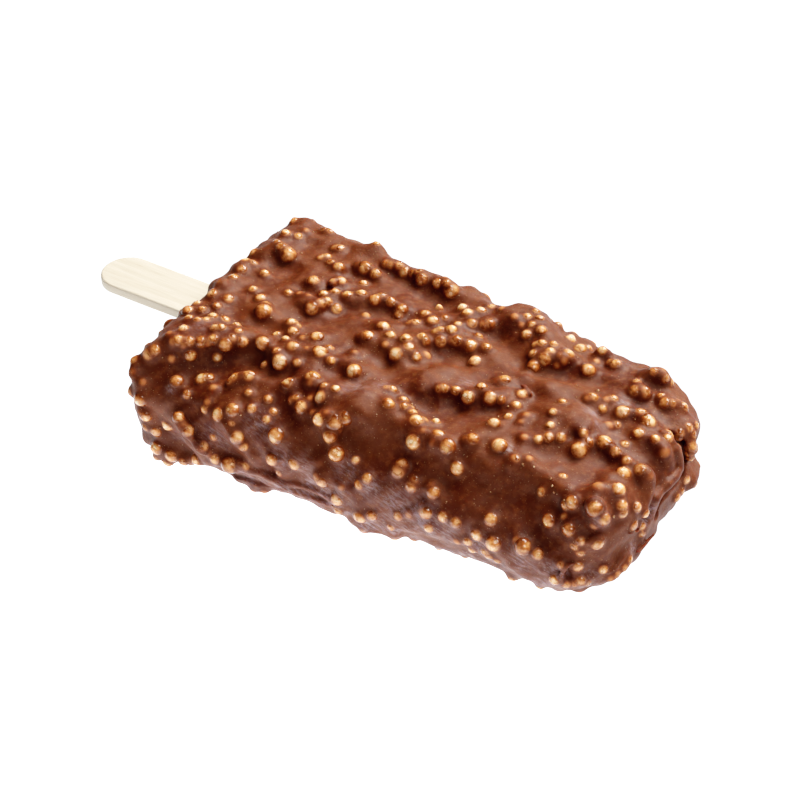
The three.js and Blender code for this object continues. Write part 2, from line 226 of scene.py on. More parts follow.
SEEN = [  # x, y, z, visible radius, cover (0 bare cereal .. 1 under chocolate)
    (2.6, 22.3, 22.2, 0.7, 0.12), (5.0, 16.5, 23.7, 0.73, 0.3), (7.4, 19.7, 23.1, 0.55, 0.8), (7.2, 17.5, 23.2, 0.58, 0.15),
    (9.8, 22.1, 22.8, 0.66, 0.15), (10.9, 22.1, 22.7, 0.64, 0.2), (5.8, 12.8, 24.1, 0.58, 0.15), (9.3, 11.0, 23.9, 1.15, 0.05),
    (7.7, 11.6, 24.2, 0.9, 0.1), (2.5, 9.5, 22.7, 0.72, 0.25), (3.3, 6.0, 23.1, 0.83, 0.06), (5.1, 6.1, 23.2, 0.61, 0.2),
    (4.5, 3.3, 23.3, 0.75, 0.03), (2.9, 3.9, 23.6, 0.76, 0.5), (8.5, 4.9, 23.0, 0.64, 0.1), (15.3, 18.7, 22.7, 0.76, 0.2),
    (14.6, 18.3, 22.6, 0.54, 0.35), (15.1, 14.9, 22.9, 0.63, 0.15), (14.5, 14.0, 23.0, 0.58, 0.25), (18.8, 13.1, 23.1, 0.75, 0.2),
    (16.8, 13.6, 23.1, 0.32, 0.2), (22.6, 15.7, 22.9, 1.04, 0.08), (21.5, 15.7, 22.6, 0.75, 0.2), (17.5, 6.9, 23.6, 0.92, 0.0),
    (21.4, 9.9, 23.0, 0.76, 0.05), (20.7, 8.2, 23.2, 0.32, 0.1), (9.6, -0.4, 23.0, 0.63, 0.45), (12.3, -2.1, 23.2, 0.75, 0.05),
    (15.4, 2.1, 22.9, 0.53, 0.3), (17.3, 2.8, 22.8, 0.49, 0.65), (19.2, 2.8, 23.0, 0.49, 0.65), (20.8, 5.1, 23.1, 0.6, 0.1),
    (22.2, 6.7, 23.1, 0.63, 0.1), (24.5, 7.1, 23.0, 0.76, 0.05), (26.4, 8.7, 23.0, 0.74, 0.05), (22.9, 3.4, 23.0, 0.68, 0.1),
    (22.3, 2.0, 23.4, 0.73, 0.35), (21.6, 0.1, 23.3, 0.89, 0.05), (24.2, 3.8, 21.4, 0.73, 0.0), (15.2, -5.1, 23.5, 1.21, 0.14),
    (14.5, -3.4, 23.4, 0.7, 0.1), (20.8, 22.4, 23.0, 0.58, 0.3), (25.4, 18.6, 22.9, 0.65, 0.1), (26.6, 18.5, 23.4, 0.58, 0.1),
    (27.1, 19.9, 21.7, 0.72, 0.3), (28.8, 19.5, 21.2, 0.79, 0.1), (31.8, 19.1, 23.0, 0.68, 0.15), (30.6, 19.2, 22.2, 0.57, 0.3),
    (33.0, 19.2, 21.5, 0.92, 0.08), (35.9, 18.9, 22.2, 0.67, 0.08), (37.7, 18.4, 23.1, 0.64, 0.12), (36.6, 19.9, 20.7, 0.53, 0.35),
    (38.5, 19.4, 20.3, 1.06, 0.0), (42.6, 16.0, 21.3, 0.74, 0.1), (44.8, 14.1, 22.4, 0.8, 0.05), (25.0, 15.5, 22.5, 0.77, 0.08),
    (24.2, 12.8, 21.5, 0.64, 0.2), (29.4, 8.4, 22.9, 0.77, 0.1), (29.9, 9.9, 22.8, 0.77, 0.05), (32.0, 9.3, 22.8, 0.68, 0.05),
    (38.5, 14.9, 20.6, 0.44, 0.25), (46.4, 16.1, 22.2, 0.7, 0.1), (47.3, 18.2, 21.9, 0.6, 0.45), (49.7, 17.7, 22.6, 0.52, 0.5),
    (1.6, -10.8, 21.3, 0.63, 0.2), (3.2, -11.2, 22.6, 0.8, 0.12), (5.0, -13.2, 23.3, 0.62, 0.3), (8.4, -10.8, 23.3, 0.64, 0.12),
    (8.3, -12.6, 23.7, 0.55, 0.3), (7.3, -13.6, 23.9, 0.52, 0.3), (6.8, -17.0, 24.1, 0.63, 0.1), (10.3, -9.8, 22.6, 0.62, 0.18),
    (11.7, -14.7, 24.5, 0.56, 0.15), (12.7, -14.1, 24.5, 0.58, 0.2), (13.9, -11.4, 23.7, 0.58, 0.15), (16.0, -15.5, 24.8, 0.72, 0.15),
    (15.6, -13.1, 24.2, 0.48, 0.4), (13.1, -17.3, 24.6, 0.63, 0.12), (12.4, -17.8, 23.5, 0.51, 0.25), (5.6, -19.4, 23.9, 0.51, 0.8),
    (8.0, -20.1, 24.0, 0.71, 0.08), (7.3, -20.6, 23.7, 0.51, 0.25), (9.8, -19.4, 23.8, 0.63, 0.08), (9.1, -20.0, 23.4, 0.61, 0.15),
    (11.3, -18.3, 23.9, 0.71, 0.05), (15.3, -16.7, 23.2, 0.88, 0.08), (17.7, -14.8, 23.3, 0.73, 0.05), (4.6, -22.5, 21.9, 0.73, 0.05),
    (3.7, -23.1, 21.2, 0.88, 0.12), (1.1, -24.2, 19.5, 0.72, 0.2), (7.3, -21.4, 20.3, 0.61, 0.6), (9.8, -19.2, 20.9, 0.78, 0.1),
    (12.4, -15.7, 18.9, 0.61, 0.3), (10.0, -24.0, 18.4, 0.88, 0.35), (13.5, -21.5, 18.7, 0.85, 0.28), (14.5, -20.8, 18.7, 0.66, 0.2),
    (19.2, -19.6, 20.0, 0.78, 0.08), (18.8, -20.5, 19.7, 0.61, 0.3), (16.6, -22.4, 18.6, 0.68, 0.68), (12.9, -25.2, 17.5, 0.44, 0.25),
    (4.4, -26.0, 17.2, 0.51, 0.8), (4.4, -27.8, 14.4, 0.94, 0.08), (1.8, -26.5, 14.4, 0.69, 0.3), (2.2, -25.7, 18.3, 0.6, 0.6),
    (17.1, -25.0, 17.4, 0.5, 0.5), (20.7, -4.4, 22.9, 0.79, 0.0), (22.0, -4.8, 22.6, 0.52, 0.2), (22.3, -6.6, 22.8, 0.69, 0.05),
    (19.3, -7.9, 22.1, 0.58, 0.28), (22.7, -9.5, 23.1, 0.58, 0.12), (24.7, -7.1, 22.4, 0.48, 0.5), (26.5, -5.7, 22.7, 0.96, 0.05),
    (20.0, -13.1, 23.1, 0.95, 0.0), (23.3, -13.1, 23.2, 0.59, 0.4), (25.1, -10.9, 23.3, 0.93, 0.42), (27.5, -10.0, 23.0, 0.51, 0.5),
    (29.7, -9.4, 23.1, 1.05, 0.05), (30.0, -7.0, 22.4, 0.6, 0.2), (32.2, -10.0, 22.5, 0.57, 0.12), (34.2, -5.7, 22.1, 0.51, 0.85),
    (24.6, -14.8, 22.1, 1.05, 0.05), (21.6, -14.7, 20.5, 0.41, 0.2), (27.6, -13.3, 22.4, 0.51, 0.3), (21.2, -18.6, 20.6, 0.88, 0.0),
    (20.1, -19.1, 20.2, 0.64, 0.3), (28.2, -17.2, 21.1, 0.89, 0.05), (31.9, -15.0, 22.5, 1.0, 0.0), (32.1, -16.0, 22.0, 0.6, 0.25),
    (36.8, -10.2, 22.4, 1.04, 0.0), (34.9, -16.3, 22.5, 0.5, 0.3), (37.1, -16.0, 22.7, 0.53, 0.1), (35.3, -18.2, 21.6, 0.86, 0.05),
    (33.6, -18.3, 20.5, 0.57, 0.45), (31.2, -19.3, 20.2, 0.57, 0.1), (30.5, -19.5, 19.7, 0.5, 0.35), (26.7, -20.8, 19.3, 0.48, 0.3),
    (23.1, -21.4, 19.6, 0.5, 0.4), (34.2, 10.0, 20.6, 0.77, 0.05), (34.2, 8.5, 20.9, 0.7, 0.2), (38.3, 10.7, 21.9, 0.77, 0.05),
    (40.7, 9.3, 22.1, 0.8, 0.05), (38.2, 7.6, 21.6, 0.73, 0.08), (37.5, 7.1, 21.5, 0.59, 0.3), (29.7, 5.1, 21.4, 0.45, 0.6),
    (35.0, 2.4, 23.0, 0.89, 0.05), (34.0, -1.3, 23.1, 0.91, 0.0), (33.0, -1.7, 22.8, 0.62, 0.3), (37.5, 0.5, 23.4, 0.65, 0.05),
    (40.4, 1.0, 23.4, 0.78, 0.05), (42.0, -0.6, 23.7, 0.78, 0.05), (41.8, -1.1, 22.8, 0.51, 0.45), (42.2, 3.3, 23.0, 0.65, 0.1),
    (43.3, 2.8, 22.9, 0.55, 0.35), (42.0, 11.2, 21.7, 0.49, 0.4), (43.6, 6.9, 22.7, 0.62, 0.05), (43.1, 6.2, 22.5, 0.52, 0.3),
    (45.3, 7.8, 23.0, 0.72, 0.05), (45.2, 10.1, 22.4, 0.52, 0.3), (45.1, 4.7, 22.1, 0.74, 0.08), (44.5, 5.4, 20.3, 0.34, 0.3),
    (47.3, 6.2, 22.5, 0.74, 0.05), (46.4, 5.8, 22.0, 0.55, 0.2), (49.7, 6.7, 21.8, 0.89, 0.05), (48.5, 6.6, 21.4, 0.61, 0.15),
    (37.9, -1.7, 22.8, 0.48, 0.5), (40.6, -2.7, 22.6, 1.02, 0.0), (43.6, -0.9, 21.9, 0.68, 0.3), (44.2, 1.1, 20.9, 0.65, 0.55),
    (47.0, 12.0, 22.0, 0.74, 0.05), (49.6, 10.1, 21.7, 0.55, 0.2), (51.6, 4.4, 20.6, 0.89, 0.03), (44.8, -10.6, 22.1, 0.56, 0.12),
    (44.0, -11.0, 22.1, 0.46, 0.4), (52.2, -6.2, 22.4, 0.55, 0.2), (51.6, -6.8, 22.3, 0.47, 0.45), (54.2, -5.9, 22.1, 0.58, 0.12),
    (56.3, -5.5, 21.5, 0.88, 0.08), (46.7, -14.5, 22.6, 0.85, 0.05), (47.6, -11.5, 21.6, 0.58, 0.25), (57.4, -2.8, 22.4, 0.7, 0.05),
    (49.8, 13.2, 22.2, 0.66, 0.08), (48.9, 12.8, 21.8, 0.73, 0.3), (53.1, 16.1, 23.5, 0.56, 0.8), (54.8, 15.5, 23.0, 0.52, 0.5),
    (54.7, 17.7, 23.7, 0.63, 0.35), (55.2, 20.3, 23.0, 0.56, 0.45), (56.8, 18.3, 22.9, 0.62, 0.2), (56.4, 16.2, 22.8, 0.55, 0.4),
    (58.8, 15.4, 23.2, 0.7, 0.1), (56.6, 14.0, 22.2, 0.72, 0.12), (58.9, 21.8, 20.2, 0.61, 0.2), (62.4, 19.4, 19.9, 0.69, 0.08),
    (65.2, 17.7, 20.1, 0.81, 0.05), (66.0, 19.0, 19.5, 0.62, 0.1), (60.3, 12.7, 22.7, 0.6, 0.3), (59.3, 12.2, 22.2, 0.55, 0.45),
    (62.2, 13.5, 22.7, 0.51, 0.35), (62.7, 11.3, 23.1, 0.61, 0.12), (60.0, 10.0, 22.0, 0.61, 0.28), (65.4, 12.8, 22.3, 0.85, 0.0),
    (64.8, 11.4, 22.4, 0.68, 0.15), (63.7, 8.1, 23.0, 0.88, 0.0), (65.8, 10.0, 22.2, 0.64, 0.05), (64.4, 10.7, 20.9, 0.54, 0.3),
    (61.3, 8.0, 21.0, 0.81, 0.05), (69.6, 12.2, 20.8, 0.93, 0.0), (52.2, 7.9, 21.7, 0.72, 0.18), (59.1, 1.9, 21.7, 0.87, 0.03),
    (58.3, 1.2, 21.2, 0.6, 0.45), (63.5, 0.2, 21.4, 0.73, 0.05), (64.0, -2.7, 21.4, 0.59, 0.1), (60.0, -4.8, 22.6, 0.88, 0.0),
    (61.6, -3.9, 22.2, 0.5, 0.35), (74.0, 5.4, 21.6, 0.7, 0.2), (73.5, 4.6, 21.5, 0.5, 0.4), (70.4, 1.4, 21.9, 0.43, 0.3),
    (69.3, 15.8, 20.1, 0.51, 0.6), (69.2, 18.1, 21.3, 0.68, 0.2), (72.7, 16.2, 20.9, 0.78, 0.03), (71.6, 16.6, 20.3, 0.51, 0.25),
    (79.9, 16.2, 22.0, 0.6, 0.3), (80.9, 17.0, 21.6, 0.74, 0.5), (82.1, 16.5, 21.5, 0.61, 0.4), (82.3, 17.6, 19.7, 0.5, 0.3),
    (78.2, 13.3, 21.1, 0.5, 0.3), (79.0, 11.2, 20.9, 0.83, 0.12), (80.3, 11.7, 21.0, 0.83, 0.05), (76.8, 7.4, 21.0, 0.55, 0.3),
    (76.0, 6.3, 21.0, 0.5, 0.5), (82.9, 13.0, 20.1, 0.53, 0.3), (84.1, 11.9, 20.0, 0.8, 0.08), (85.1, 12.4, 20.0, 0.66, 0.1),
    (86.7, 14.4, 18.9, 0.77, 0.12), (85.5, 13.5, 19.7, 0.58, 0.25), (79.5, 5.4, 20.8, 0.99, 0.0), (80.5, 6.0, 20.4, 0.59, 0.15),
    (82.1, 6.8, 20.6, 0.82, 0.0), (84.1, 6.0, 20.3, 1.08, 0.0), (79.7, 3.0, 19.5, 0.52, 0.3), (78.8, 2.0, 19.8, 0.66, 0.5),
    (76.4, 4.3, 20.8, 0.5, 0.25), (83.9, 2.6, 19.9, 0.78, 0.25), (80.5, -2.7, 20.9, 1.0, 0.0), (82.8, -0.1, 19.0, 0.47, 0.45),
    (82.8, -4.0, 20.2, 0.68, 0.1), (87.1, 2.1, 20.6, 0.57, 0.2), (88.4, 4.5, 19.2, 0.6, 0.08), (87.7, 10.3, 16.7, 0.77, 0.12),
    (88.5, 8.9, 16.8, 0.6, 0.3), (89.1, 11.0, 17.3, 0.7, 0.2), (89.1, 11.3, 15.6, 0.5, 0.35), (90.5, 10.1, 14.6, 0.78, 0.08),
    (90.4, 9.6, 13.6, 0.66, 0.25), (89.7, 13.2, 16.7, 0.5, 0.35), (90.1, 9.6, 11.6, 0.53, 0.4), (90.2, 9.4, 7.8, 0.55, 0.3),
    (90.5, 7.9, 6.3, 0.62, 0.28), (90.8, 6.0, 6.3, 0.6, 0.28), (89.3, 1.1, 19.2, 0.73, 0.72), (88.1, -5.2, 19.8, 0.83, 0.15),
    (86.0, -7.0, 19.4, 0.93, 0.03), (85.4, -4.7, 19.9, 0.64, 0.4), (87.3, -11.3, 20.0, 0.92, 0.08), (84.5, -13.0, 20.2, 0.95, 0.6),
    (89.8, -5.2, 19.3, 0.74, 0.65), (5.0, -27.2, 10.6, 0.81, 0.05), (4.0, -27.1, 11.3, 0.58, 0.4), (3.7, -26.5, 7.0, 0.63, 0.4),
    (6.1, -26.0, 7.1, 0.76, 0.2), (8.7, -26.0, 9.5, 0.86, 0.05), (13.1, -27.6, 14.5, 0.73, 0.08), (14.5, -27.8, 12.1, 0.75, 0.05),
    (13.5, -27.9, 13.1, 0.55, 0.45), (20.0, -26.1, 16.8, 0.87, 0.0), (16.8, -25.9, 16.4, 0.39, 0.1), (22.6, -25.9, 16.0, 0.5, 0.4),
    (22.3, -25.1, 18.1, 0.87, 0.0), (24.2, -26.6, 14.2, 0.87, 0.05), (18.5, -26.0, 11.1, 0.49, 0.45), (17.2, -27.1, 9.5, 0.75, 0.1),
    (16.2, -27.0, 10.2, 0.51, 0.45), (6.2, -26.3, 3.7, 0.91, 0.1), (9.2, -26.0, 3.2, 0.9, 0.05), (14.4, -25.4, 4.2, 0.76, 0.05),
    (11.6, -25.8, 2.9, 0.63, 0.3), (12.2, -24.8, 2.0, 0.56, 0.4), (6.2, -25.3, 1.9, 0.63, 0.3), (8.0, -25.2, 1.9, 0.7, 0.3),
    (19.2, -27.0, 7.2, 0.68, 0.1), (18.3, -27.0, 8.0, 0.51, 0.4), (21.8, -26.3, 6.8, 1.12, 0.03), (25.2, -23.6, 18.6, 0.53, 0.12),
    (28.3, -21.7, 17.9, 0.53, 0.4), (28.1, -23.5, 17.4, 0.48, 0.35), (32.8, -20.2, 19.8, 0.85, 0.08), (35.3, -20.4, 19.8, 0.5, 0.5),
    (37.5, -21.9, 20.3, 0.84, 0.05), (38.5, -21.0, 21.3, 0.49, 0.6), (40.1, -21.0, 20.1, 1.08, 0.08), (41.1, -19.7, 20.5, 0.99, 0.0),
    (40.5, -20.8, 18.7, 0.54, 0.35), (30.7, -24.8, 15.8, 1.03, 0.0), (40.1, -22.6, 18.2, 0.84, 0.05), (41.9, -23.7, 16.0, 0.98, 0.05),
    (25.5, -26.6, 12.6, 0.57, 0.2), (25.0, -25.8, 7.6, 0.71, 0.15), (23.7, -25.6, 7.4, 0.58, 0.35), (30.5, -26.3, 11.5, 0.83, 0.08),
    (34.8, -25.7, 12.1, 0.86, 0.05), (31.4, -25.4, 8.6, 0.55, 0.45), (39.9, -25.3, 10.4, 0.93, 0.1), (39.3, -25.3, 11.1, 0.6, 0.1),
    (44.7, -22.0, 14.8, 0.26, 0.2), (27.2, -24.0, 1.9, 0.55, 0.5), (25.3, -24.2, 1.8, 0.52, 0.5), (42.8, -25.2, 7.5, 0.83, 0.1),
    (46.5, -24.0, 11.8, 0.61, 0.2), (43.6, -24.6, 10.4, 0.5, 0.8), (50.4, -13.2, 21.1, 0.59, 0.1), (52.0, -14.7, 21.3, 0.92, 0.05),
    (52.8, -13.7, 20.7, 0.49, 0.3), (54.3, -12.3, 20.3, 0.53, 0.12), (56.5, -15.3, 20.6, 0.84, 0.28), (54.1, -16.0, 20.7, 0.49, 0.65),
    (56.6, -17.1, 20.2, 0.49, 0.55), (59.1, -16.7, 20.3, 1.0, 0.0), (62.0, -13.8, 21.0, 0.81, 0.03), (61.1, -14.1, 20.7, 0.58, 0.35),
    (53.2, -17.9, 19.3, 0.98, 0.0), (52.5, -20.1, 15.8, 0.78, 0.12), (52.5, -21.1, 15.2, 0.91, 0.0), (47.7, -23.4, 13.2, 0.69, 0.15),
    (55.4, -21.9, 13.8, 0.81, 0.08), (55.6, -21.2, 14.5, 0.65, 0.35), (61.6, -18.1, 17.6, 0.84, 0.0), (59.4, -21.6, 14.1, 0.84, 0.08),
    (58.7, -20.9, 14.5, 0.58, 0.4), (48.6, -13.0, 21.6, 0.53, 0.3), (49.3, -12.1, 20.7, 0.5, 0.4), (63.3, -8.9, 21.7, 0.77, 0.08),
    (64.1, -5.6, 20.8, 0.51, 0.2), (66.7, -4.2, 21.0, 0.66, 0.5), (66.7, -5.9, 20.8, 0.49, 0.6), (70.5, -2.3, 22.3, 0.49, 0.3),
    (71.4, -4.9, 21.8, 0.55, 0.08), (66.4, -12.7, 20.9, 1.0, 0.0), (69.1, -9.3, 21.1, 0.49, 0.65), (71.0, -8.2, 20.7, 0.55, 0.12),
    (72.2, -6.7, 20.0, 0.68, 0.12), (73.8, -5.6, 19.9, 0.68, 0.28), (77.3, -4.0, 21.8, 0.52, 0.2), (78.0, -4.2, 20.1, 0.68, 0.08),
    (77.0, -5.8, 18.5, 0.99, 0.0), (70.0, -14.1, 20.4, 0.67, 0.12), (69.7, -14.6, 19.5, 0.74, 0.5), (71.9, -12.7, 20.3, 0.42, 0.5),
    (78.1, -12.6, 19.3, 0.45, 0.4), (76.0, -15.8, 17.5, 0.64, 0.45), (81.9, -17.1, 18.9, 0.79, 0.08), (81.0, -17.1, 17.9, 0.55, 0.1),
    (42.8, -24.9, 4.9, 0.6, 0.3), (46.9, -24.7, 5.0, 0.93, 0.05), (46.8, -22.7, 2.0, 0.67, 0.5), (49.3, -24.6, 6.4, 0.66, 0.1),
    (54.0, -24.0, 8.2, 0.56, 0.25), (55.9, -23.6, 9.2, 0.49, 0.5), (58.9, -23.2, 10.7, 0.89, 0.08), (58.2, -22.7, 11.3, 0.65, 0.4),
    (62.1, -23.2, 11.1, 0.71, 0.15), (59.8, -23.8, 8.1, 0.65, 0.2), (64.4, -23.0, 11.0, 0.73, 0.2), (52.5, -23.8, 4.8, 0.46, 0.4),
    (64.7, -22.9, 6.8, 0.49, 0.6), (66.7, -23.0, 7.7, 0.6, 0.25), (68.3, -22.9, 9.9, 0.8, 0.05), (67.2, -22.7, 5.3, 0.57, 0.4),
    (69.9, -21.3, 12.9, 0.82, 0.08), (78.9, -18.9, 14.9, 0.81, 0.08), (81.4, -17.9, 16.3, 0.47, 0.6), (82.9, -19.7, 15.5, 0.8, 0.15),
    (85.9, -16.9, 19.6, 1.03, 0.05), (87.8, -16.9, 18.1, 0.74, 0.08), (86.3, -17.4, 16.4, 0.55, 0.5), (71.3, -23.0, 9.5, 1.0, 0.05),
    (69.7, -22.6, 6.6, 0.55, 0.3), (76.4, -22.3, 11.0, 0.99, 0.08), (75.1, -21.8, 11.2, 0.57, 0.35), (78.9, -21.9, 10.3, 0.68, 0.08),
    (85.2, -19.6, 14.1, 0.63, 0.45), (84.4, -20.0, 13.0, 0.46, 0.2), (85.3, -19.6, 11.8, 0.47, 0.45), (87.5, -18.1, 13.6, 0.9, 0.05),
    (83.0, -21.4, 9.5, 0.51, 0.4), (85.3, -20.0, 9.1, 0.67, 0.35), (82.3, -22.2, 6.5, 0.72, 0.05), (70.4, -22.9, 5.0, 0.57, 0.25),
    (71.4, -22.4, 4.5, 0.52, 0.4), (85.0, -20.3, 5.4, 0.51, 0.2), (85.9, -20.0, 6.1, 0.65, 0.12), (83.9, -21.0, 5.2, 0.46, 0.2),
    (86.6, -19.1, 5.4, 0.48, 0.4), (88.8, -12.8, 18.2, 0.73, 0.0), (89.0, -13.0, 17.0, 0.66, 0.15), (91.2, -9.9, 16.9, 0.64, 0.05),
    (90.8, -8.2, 14.0, 0.57, 0.3), (90.3, -11.1, 13.3, 0.75, 0.25), (90.0, -7.0, 9.9, 0.44, 0.3), (89.9, -6.9, 8.4, 0.44, 0.45),
    (88.3, -16.9, 7.3, 0.42, 0.1), (90.3, -11.6, 6.2, 0.65, 0.32), (90.1, -13.0, 5.7, 0.64, 0.32), (89.7, -14.7, 5.4, 0.64, 0.32),
    (89.2, -15.7, 5.1, 0.56, 0.4), (4.3, -3.0, 23.7, 0.71, 0.5), (5.0, -3.1, 23.5, 0.53, 0.5), (4.8, 0.5, 23.4, 0.71, 0.3),
    (4.3, -5.2, 23.0, 0.83, 0.12), (7.5, -4.9, 22.9, 0.74, 0.15), (7.1, -7.8, 23.0, 0.52, 0.35), (5.4, -9.9, 23.0, 0.56, 0.2),
    (3.2, -8.4, 22.4, 0.52, 0.3),
]
BLOOM_SHEEN_SPOTS = [  # where, size, how much: pale, finely speckled sugar bloom, which also paints in sheen and highlights on lumps and lips
    ((18.5, -25.9, 12.2), 2.6, 0.4),
    ((20.2, -25.8, 11.1), 2.2, 0.4),
    ((32.2, -25.1, 11.9), 2.6, 0.45),
    ((35.5, -24.9, 11.9), 2.4, 0.5),
    ((39.6, -13.6, 21.9), 2.2, 0.5),
    ((42.5, -10.8, 21.8), 2.0, 0.4),
    ((53.2, -23.5, 10.0), 3.0, 0.6),
    ((57.9, -23.3, 9.8), 3.0, 0.6),
    ((61.7, -23.3, 8.3), 3.0, 0.5),
    ((75.4, 1.7, 20.6), 1.5, 0.9),
    ((77.0, 0.0, 20.6), 1.2, 0.7),
    ((68.0, -12.4, 20.5), 0.9, 0.9),
    ((71.8, -3.4, 20.8), 1.0, 0.8),
    ((78.7, 7.9, 20.5), 1.2, 0.7),
    ((54.2, -2.4, 21.4), 1.6, 0.5),
    ((9.0, -15.4, 23.0), 1.6, 0.5),
    ((69.0, -22.9, 8.1), 2.5, 0.6),
    ((76.1, -22.4, 7.9), 2.5, 0.6),
    ((43.0, -24.4, 8.1), 2.2, 0.6),
    ((25.2, -25.3, 4.5), 2.0, 0.5),
    ((87.0, -16.9, 17.5), 1.6, 0.5),
    ((11.5, -26.4, 7.7), 1.8, 0.6),
    ((24.4, -25.6, 6.2), 1.2, 0.9),
    ((27.8, -25.4, 6.2), 1.2, 0.9),
    ((30.9, -25.2, 5.6), 1.2, 0.9),
    ((33.7, -25.0, 5.4), 1.3, 0.9),
    ((37.3, -24.8, 8.7), 1.8, 0.8),
    ((40.1, -24.6, 7.4), 1.8, 0.8),
    ((12.2, -26.3, 11.3), 0.9, 0.8),
    ((13.7, -26.2, 9.5), 0.9, 0.8),
    ((15.1, -26.1, 7.6), 0.9, 0.8),
    ((21.6, -25.7, 14.3), 0.9, 0.6),
    ((23.4, -25.6, 12.0), 0.9, 0.6),
    ((43.7, -23.4, 13.2), 2.0, 0.5),
    ((48.7, -23.4, 11.6), 2.2, 0.6),
    ((9.5, -25.8, 17.9), 1.0, 0.7),
    ((27.1, -24.6, 16.5), 2.4, 0.5),
    ((90.2, -3.5, 12.9), 1.1, 1.0),
    ((90.2, -4.7, 11.7), 1.1, 1.0),
    ((90.2, -6.4, 10.8), 1.1, 0.9),
    ((90.2, -9.9, 7.4), 1.2, 0.7),
    ((82.8, -21.4, 7.8), 1.4, 0.7),
    ((80.9, -21.9, 8.2), 1.4, 0.6),
    ((86.8, 2.7, 19.7), 1.4, 0.4),
]
CRUMBS = [(36.7, 9.9, 22.3), (49.8, -10.7, 21.8), (69.9, 7.7, 21.1), (71.5, -14.0, 19.9), (76.7, -14.4, 19.7), (77.4, -15.4, 19.2), (78.1, -16.3, 18.7), (10.0, -20.9, 21.9), (63.0, -3.9, 21.4), (73.4, 8.3, 21.0), (41.9, -24.8, 5.6), (89.0, -15.0, 17.0), (10.3, 14.1, 23.2)]


# ------------------------------------------------------------------ shape functions
def slab(x, y, z):
    """Distance to the tapered slab with rounded corners and edges."""
    t = np.clip(x / LENGTH, 0, 1)
    half = (WIDTH_STICK_END + (WIDTH_TIP - WIDTH_STICK_END) * t) / 2
    thick = THICK_STICK_END + (THICK_TIP - THICK_STICK_END) * t
    r = np.where(x < LENGTH / 2, CORNER_STICK_END, CORNER_TIP).astype(F32)
    qx = np.abs(x - LENGTH / 2) - LENGTH / 2 + r
    qy = np.abs(y) - half + r
    plan = np.hypot(np.maximum(qx, 0), np.maximum(qy, 0)) + np.minimum(np.maximum(qx, qy), 0) - r
    wx = plan + EDGE_ROUND
    wz = np.abs(z - thick / 2) - thick / 2 + EDGE_ROUND
    return np.minimum(np.maximum(wx, wz), 0) + np.hypot(np.maximum(wx, 0), np.maximum(wz, 0)) - EDGE_ROUND


def shoulder(x, y, z):
    """Distance past the slope that takes the place of the near long edge of the top."""
    t = np.clip(x / LENGTH, 0, 1)
    half = (WIDTH_STICK_END + (WIDTH_TIP - WIDTH_STICK_END) * t) / 2
    thick = THICK_STICK_END + (THICK_TIP - THICK_STICK_END) * t
    along, inward, lower = np.array(SHOULDER).T
    y0 = np.interp(x, along, inward)
    z0 = np.interp(x, along, lower)
    dy, dz = np.maximum(half - y0, 0.5), np.maximum(thick - z0, 0.5)
    return (((-y - y0) / dy + (z - z0) / dz - 1) / np.sqrt(1 / dy ** 2 + 1 / dz ** 2)).astype(F32)


def undulation(x, y, z):
    s = np.sin
    return (0.34 * s(0.29 * x + 0.16 * y + 1.3) * s(0.24 * y - 0.12 * x + 0.33 * z + 0.4)
            + 0.20 * s(0.57 * x - 0.43 * y + 0.46 * z + 2.1) * s(0.51 * y + 0.38 * x + 0.62 * z + 0.9)
            + 0.12 * s(1.02 * x + 0.71 * y - 0.83 * z + 0.7) * s(0.94 * y - 0.66 * x + 0.97 * z + 1.9))


LATTICES = {}


def noise(p, size, seed):
    """Smooth value noise about -1 to 1; size is the distance between its knots."""
    n = 32
    if seed not in LATTICES:
        LATTICES[seed] = np.random.RandomState(seed).uniform(-1, 1, (n, n, n)).astype(F32)
    v = LATTICES[seed]
    q = p / size + 17.31
    i = np.floor(q).astype(np.int32)
    f = (q - i).astype(F32)
    f = f * f * f * (f * (f * 6 - 15) + 10)
    i0, i1 = i % n, (i + 1) % n
    x0, y0, z0 = i0[..., 0], i0[..., 1], i0[..., 2]
    x1, y1, z1 = i1[..., 0], i1[..., 1], i1[..., 2]
    fx, fy, fz = f[..., 0], f[..., 1], f[..., 2]
    a = v[x0, y0, z0] * (1 - fx) + v[x1, y0, z0] * fx
    b = v[x0, y1, z0] * (1 - fx) + v[x1, y1, z0] * fx
    c = v[x0, y0, z1] * (1 - fx) + v[x1, y0, z1] * fx
    d = v[x0, y1, z1] * (1 - fx) + v[x1, y1, z1] * fx
    return ((a * (1 - fy) + b * fy) * (1 - fz) + (c * (1 - fy) + d * fy) * fz) * 1.6


def smooth_min(a, b, k):
    h = np.maximum(k - np.abs(a - b), 0) / k
    return np.minimum(a, b) - h * h * k * 0.25


def smooth_max(a, b, k):
    return -smooth_min(-a, -b, k)


def step(t):
    t = np.clip(t, 0, 1)
    return t * t * (3 - 2 * t)


def spine_distance(x, y, z, pts):
    """Distance to a chain of straight segments, and how far along it (0 to 1) the nearest point is."""
    best = np.full(x.shape, 1e9, F32)
    along = np.zeros(x.shape, F32)
    pts = [np.array(p, float) for p in pts]
    if len(pts) == 1:
        pts = [pts[0], pts[0] + 1e-3]
    n = len(pts) - 1
    for k in range(n):
        a, d = pts[k], pts[k + 1] - pts[k]
        t = np.clip(((x - a[0]) * d[0] + (y - a[1]) * d[1] + (z - a[2]) * d[2]) / (d @ d + 1e-12), 0, 1)
        r = np.sqrt((x - a[0] - t * d[0]) ** 2 + (y - a[1] - t * d[1]) ** 2 + (z - a[2] - t * d[2]) ** 2)
        m = r < best
        best = np.where(m, r, best)
        along = np.where(m, (k + t) / n, along)
    return best, along


